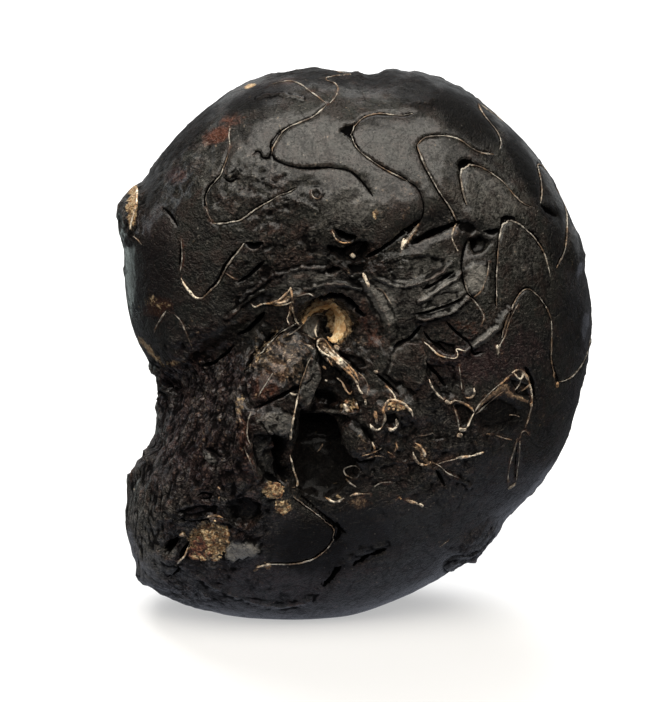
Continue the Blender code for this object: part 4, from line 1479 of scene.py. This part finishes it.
def ironstone_finish():
    """The dark stone: worn and polished, broken, rusted and crusted."""
    f = Finish("ironstone")
    rough = f.kept("rough")
    gloss = f.kept("gloss")
    crest = f.kept("crest")
    painted_shade = f.kept("painted_shade")
    dark = f.kept("dark")
    speck = f.cloud(0.34 * MM, 4.0, 19.0)
    grit = f.cloud(0.20 * MM, 2.0, 23.0)
    mottle = f.cloud(6.0 * MM, 5.0, 3.0)
    tone = f.cloud(1.7 * MM, 5.0, 7.0)
    fleck = f.cloud(0.8 * MM, 6.0, 13.0)
    seam = abs(f.cloud(2.8 * MM, 4.0, 31.0) - 0.5)
    fine_seam = abs(f.cloud(1.3 * MM, 2.5, 37.0, 0.8) - 0.5)
    crinkle = abs(f.cloud(0.9 * MM, 2.5, 41.0, 1.0) - 0.5)
    stained = f.cloud(3.4 * MM, 6.0, 43.0)
    ragged = (speck - 0.5) * 0.7 + (fleck - 0.5) * 0.9
    colour = f.blend(f.step(mottle + (fleck - 0.5) * 0.7, 0.36, 0.62), BLACK_STONE, GREY_STONE)
    colour = f.blend(f.step(stained, 0.44, 0.60) * 0.6, colour, GREEN_STONE)
    colour = f.blend(f.step(tone * 0.6 + stained * 0.4, 0.46, 0.60) * (0.45 + rough * 0.35), colour,
                     BROWN_STONE)
    colour = f.blend(f.step(f.kept("purple") + ragged, 0.15, 0.85) * 0.85, colour, PURPLE)
    colour = f.blend(f.step(f.kept("rust") + ragged * 1.5, 0.25, 1.05) * 0.85, colour, RUST)
    colour = f.blend(f.step(f.kept("grey") + ragged * 0.8, 0.15, 0.85) * 0.8, colour, PALE_GREY)
    colour = f.blend(f.step(f.kept("grey") + ragged * 0.4, 1.0, 1.4), colour, PALER_GREY)
    # Black, polished stone; in the black patches' hollows and undersides this is painted shade too.
    colour = f.blend(f.step(dark + ragged * 0.5, 0.15, 0.80) * 0.8, colour, POLISHED_BLACK_AND_SHADE)
    # Highlights painted on crests and along crinkle ridges, and pale specks of dusting scattered
    # over the rock.
    dust_and_highlight = f.step(crest + ragged * 0.8, 0.25, 1.05) * 0.30
    dust_and_highlight = dust_and_highlight + f.step(speck * 0.5 + grit * 0.5, 0.54, 0.64) * (0.13 + rough * 0.30)
    dust_and_highlight = dust_and_highlight + f.step(crinkle, 0.045, 0.010) * rough * 0.25
    dust_and_highlight_tone = f.blend(f.step(tone * 0.5 + stained * 0.5, 0.44, 0.56), DUST_AND_HIGHLIGHT, RED_DUST_AND_HIGHLIGHT)
    colour = f.blend(dust_and_highlight * (1 - dark * 0.4), colour, dust_and_highlight_tone)
    # Painted glints: tiny scattered specks in the pale colour.
    glints = f.step(f.scales(0.80 * MM), 0.135, 0.060) * f.step(fleck, 0.46, 0.58)
    colour = f.blend(glints * 0.75, colour, DUST_AND_HIGHLIGHT)
    shell_share = f.step(f.kept("shell") + ragged * 0.9, 0.35, 0.85)
    colour = f.blend(shell_share * 0.7, colour, SHELL_STAIN)
    colour = f.blend(shell_share * f.step(speck, 0.54, 0.64) * 0.5, colour, PALE_OCHRE)
    ochre_share = f.step(f.kept("ochre") + ragged * 1.8, 0.36, 0.92)
    ochre = f.blend(f.step(speck, 0.42, 0.60), OCHRE, PALE_OCHRE)
    colour = f.blend(ochre_share * 0.85, colour, ochre)
    # Painted shade: cracks, pits, crease lines, seams, sunken plates and the black patches are
    # mixed into a black surface with no shine.
    pits = f.step(speck * 0.4 + grit * 0.6, 0.49, 0.38) * (0.50 + rough * 0.15)
    crease_shade = f.step(crest + ragged * 0.8, 0.05, -0.65) * 0.92
    hollow = f.larger(f.step(f.kept("crack"), 1.15, 0.90), pits)
    hollow = f.larger(hollow, f.step(painted_shade + ragged * 0.3, 0.15, 0.80))
    hollow = f.larger(hollow, crease_shade)
    hollow = f.larger(hollow, f.step(fleck * 0.7 + grit * 0.3, 0.48, 0.40) * rough * 0.7)
    hollow = f.larger(hollow, f.step(seam, 0.026, 0.006) * (0.35 + rough * 0.5))
    hollow = f.larger(hollow, f.step(fine_seam, 0.060, 0.020) * (0.06 + rough * 0.90))
    hollow = f.larger(hollow, f.step(dark + ragged * 0.5, 0.20, 1.00) * 0.66)
    hollow = hollow * (1 - ochre_share * 0.6)
    coat = (0.62 + gloss * 0.10) * (1 - ochre_share * 0.8) * (1 - dark * 0.40)
    coarse = 0.38 + (fleck - 0.5) * 0.3 + (grit - 0.5) * 0.2
    relief = grit * 0.60 + speck * (0.50 + rough * 0.9) + fleck * (0.5 + rough * 2.4)
    relief = relief + tone * rough * 1.4 + f.step(crinkle, 0.10, 0.01) * rough * 0.9
    relief = relief - f.step(seam, 0.040, 0.004) * (0.25 + rough * 0.6)
    relief = relief - f.step(fine_seam, 0.11, 0.01) * rough * 1.0
    surface = f.shader({"Base Color": colour, "Roughness": coarse, "Specular IOR Level": 0.32,
                        "Specular Tint": (1.0, 0.95, 0.87, 1),
                        "Coat Weight": coat, "Coat Roughness": 0.20, "Coat IOR": 1.5,
                        "Normal": f.bump(relief, 0.30 * MM, 1.0)})
    # The black, shineless surface of the painted shade.
    depths = f.shader({"Base Color": SHADE_BLACK, "Roughness": 0.9, "Specular IOR Level": 0.04})
    return f.end(f.node("ShaderNodeMixShader", {}, {0: hollow, 1: surface, 2: depths}))


def wall_finish(name, pale, tan, dirt):
    """Pale shell, in places stained tan or caked with dirt; dirt is the caked share."""
    f = Finish(name)
    grain_size = f.cloud(0.40 * MM, 4.0, 2.0)
    stain = f.step(f.cloud(1.9 * MM, 3.0, 5.0), 0.42, 0.60)
    wear = f.step(f.cloud(1.0 * MM, 4.0, 9.0) + (grain_size - 0.5) * 0.4, 0.60 - 0.30 * dirt,
                  0.70 - 0.25 * dirt)
    colour = f.blend(stain, pale, tan)
    colour = f.blend(wear * 0.85, colour, DIRTY_WALL)
    # Painted shade in the low spots of the grain.
    colour = f.blend(f.step(grain_size, 0.48, 0.38) * 0.8, colour, WALL_PIT_SHADE)
    return f.close({"Base Color": colour, "Roughness": 0.55, "Specular IOR Level": 0.35,
                    "Normal": f.bump(grain_size, 0.08 * MM, 0.9)})


def crust_finish(name):
    """Sugary mineral crust: pale grains, stained in patches, with shade painted into the sunken
    gaps between them.
    """
    dark, light, stain, gap = CRUSTS[name]
    f = Finish(name)
    grains = f.scales(0.42 * MM)
    speck = f.cloud(0.3 * MM, 4.0, 2.0)
    patch = f.cloud(1.3 * MM, 3.0, 6.0)
    colour = f.blend(f.step(speck, 0.38, 0.62), dark, light)
    colour = f.blend(f.step(patch, 0.46, 0.60) * 0.8, colour, stain)
    colour = f.blend(f.step(grains, 0.45, 0.75) * gap, colour, CRUST_GAP_SHADE)
    return f.close({"Base Color": colour, "Roughness": 0.55, "Specular IOR Level": 0.35,
                    "Normal": f.bump(speck * 0.5 + grains * -0.6, 0.09 * MM, 0.9)})


def area_light(name, place, aim, size, power, tint):
    """A rectangular soft light."""
    lamp = bpy.data.lights.new(name, "AREA")
    lamp.shape = "RECTANGLE"
    lamp.size, lamp.size_y = size
    lamp.energy = power
    lamp.color = tint
    holder = bpy.data.objects.new(name, lamp)
    holder.location = place
    holder.rotation_euler = (Vector(aim) - Vector(place)).to_track_quat("-Z", "Y").to_euler()
    bpy.context.scene.collection.objects.link(holder)
    return holder


def flat_sheet(name, size, finish_inputs):
    """A level square of the studio floor."""
    form = bmesh.new()
    bmesh.ops.create_grid(form, x_segments=1, y_segments=1, size=size)
    mesh = bpy.data.meshes.new(name)
    form.to_mesh(mesh)
    form.free()
    sheet = bpy.data.objects.new(name, mesh)
    bpy.context.scene.collection.objects.link(sheet)
    mesh.materials.append(Finish(name).close(finish_inputs))
    return sheet


def light_and_floor():
    """White floor, the sheets that the stone mirrors, and the studio's lights."""
    scene = bpy.context.scene
    scene.view_settings.view_transform = "Standard"
    world = bpy.data.worlds.new("studio")
    world.use_nodes = True
    world.node_tree.nodes["Background"].inputs["Color"].default_value = (0.012, 0.013, 0.015, 1)
    scene.world = world
    floor = flat_sheet("floor", 3.0, {"Base Color": (0.42, 0.42, 0.42, 1), "Roughness": 0.9,
                                      "Specular IOR Level": 0.1,
                                      "Emission Color": (1, 1, 1, 1), "Emission Strength": 0.46})
    floor.visible_diffuse = False
    floor.visible_glossy = False
    for name, (spot, half, glow, tint) in MIRRORED_SHEETS.items():
        bounce = flat_sheet(name, half, {"Base Color": (0.06, 0.06, 0.06, 1), "Roughness": 0.9,
                                         "Specular IOR Level": 0.0, "Emission Color": tint,
                                         "Emission Strength": glow})
        bounce.visible_camera = False
        bounce.visible_shadow = False
        bounce.location = spot
    for name, (place, aim, size, power, tint) in LIGHTS.items():
        lamp = area_light(name, place, aim, size, power, tint)
        # The light that whitens the table is not mirrored in the stone.
        lamp.visible_glossy = name != "table light"


def place_camera():
    """The camera of the picture."""
    lens = bpy.data.cameras.new("view")
    lens.sensor_fit = "VERTICAL"
    lens.sensor_height = SENSOR
    lens.lens = SENSOR * FOCAL_PIXELS / PICTURE_HEIGHT
    camera = bpy.data.objects.new("view", lens)
    camera.matrix_world = Matrix.Translation(EYE) @ Matrix((RIGHT, UP, BACK)).transposed().to_4x4()
    bpy.context.scene.collection.objects.link(camera)
    bpy.context.scene.camera = camera


def open_cracks(tree):
    """The stone's cracks, and the runs of its sutures over the shell's back."""
    cracks = Cracks()
    for name, corners in SUTURES.items():
        places, normals = cast_line(tree, corners)
        rift = places + left_of(places, normals) * CRACK_OFFSET
        cracks.add(rift, CRACK_HALF_WIDTH, SUTURE_DEPTH)
        if name not in FRONT_ONLY:
            cracks.add(far_twin(tree, rift)[0], CRACK_HALF_WIDTH, SUTURE_DEPTH)
    for name, (half_pixels, depth_pixels, corners) in CRACKS.items():
        places, _ = cast_line(tree, corners)
        half_width = half_pixels / PIXELS_PER_METRE
        depth = depth_pixels / PIXELS_PER_METRE
        cracks.add(places, half_width, depth)
        if name in FAR_CRACKS:
            cracks.add(far_twin(tree, places)[0], half_width, depth)
    crossings = []
    for name, dip in CROSSINGS.items():
        places, _ = cast_line(tree, SUTURES.get(name) or VEINS[name])
        crossings.append(crossing(tree, places[-1], dip))
        cracks.add(crossings[-1][0], FAR_SHARE * CRACK_HALF_WIDTH, CROSSING_DEPTH)
    cracks.close()
    return cracks, crossings


def lay_shell(skin_tree, carved_tree, crossings):
    """Suture walls, veins and bars of pale shell, on the carved stone."""
    pale = wall_finish("pale_shell", PALE_WALL, TAN_WALL, 0.45)
    cream = wall_finish("cream_shell", CREAM_BAR, BROWN_BAR, 0.32)
    sutures = []
    for name, corners in SUTURES.items():
        places, normals = cast_line(skin_tree, corners)
        share = WORN_SHARE if name in WORN_SUTURES else 1.0
        sutures.append((*bridged(carved_tree, places, normals), share))
        if name not in FRONT_ONLY:
            far_places, far_normals = far_twin(skin_tree, places)
            sutures.append((*bridged(carved_tree, far_places, far_normals), FAR_SHARE))
    for places, normals in crossings:
        sutures.append((*bridged(carved_tree, places, normals), FAR_SHARE))
    veins = [(*cast_line(carved_tree, corners), VEIN_SHARE) for corners in VEINS.values()]
    bars = [(*cast_line(carved_tree, corners),
             BAR_SHARE * half_pixels / PIXELS_PER_METRE / PALE_HALF_WIDTH)
            for half_pixels, corners in BARS.values()]
    shell_walls("suture_walls", sutures, pale, SUTURE_PROUD)
    shell_walls("veins", veins, pale, VEIN_PROUD)
    shell_walls("shell_bars", bars, cream, BAR_PROUD)


def grow_crusts(tree):
    """The umbilicus' cream lip, and the crystals in their pockets."""
    chance = random.Random(CRUST_SEED)
    lip = []
    for corners, radii, count, scatter in UMBILICAL_LIP.values():
        lip += arched(chance, corners, radii, count, scatter)
    fused_lumps("umbilical_crust", tree, lip, crust_finish("cream_crust"), 0.34, softening=8)
    mouth = strewn(chance, *MOUTH_POCKET)
    rusty = [(across, down, radius) for across, down, radius in mouth
             if across < RUSTY_START + RUSTY_SLOPE * down and down < RUSTY_FOOT]
    ochre = [lump for lump in mouth if lump not in rusty]
    for pocket in POCKETS.values():
        ochre += strewn(chance, *pocket)
    fused_lumps("crystal_pockets", tree, ochre, crust_finish("ochre_crystals"), 0.45)
    fused_lumps("rusty_crystals", tree, rusty, crust_finish("rusty_crystals"), 0.40)


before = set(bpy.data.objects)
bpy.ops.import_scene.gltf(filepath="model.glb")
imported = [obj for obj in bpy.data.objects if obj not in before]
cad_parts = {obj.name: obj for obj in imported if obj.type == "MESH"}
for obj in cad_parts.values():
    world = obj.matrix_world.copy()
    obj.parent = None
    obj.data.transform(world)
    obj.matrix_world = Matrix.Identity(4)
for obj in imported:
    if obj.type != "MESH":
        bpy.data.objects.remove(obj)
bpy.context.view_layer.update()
place_camera()
light_and_floor()

coarse_skin = merged_skin(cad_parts["goniatite"])
skin_tree = tree_of(subdivided(coarse_skin, 2))
cracks, crossings = open_cracks(skin_tree)
skin = refined(subdivided(coarse_skin, 1), cracks, skin_tree)
shell_lines = list(VEINS.values()) + [corners for _, corners in BARS.values()]
shell_spots = [spot for corners in shell_lines for spot in cast_line(skin_tree, corners)[0]]
skin = carve(skin, cracks, spots_tree(shell_spots))
stone = new_piece("stone", skin, ironstone_finish())
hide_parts("goniatite")

carved_tree = tree_of(skin)
lay_shell(skin_tree, carved_tree, crossings)
grow_crusts(carved_tree)
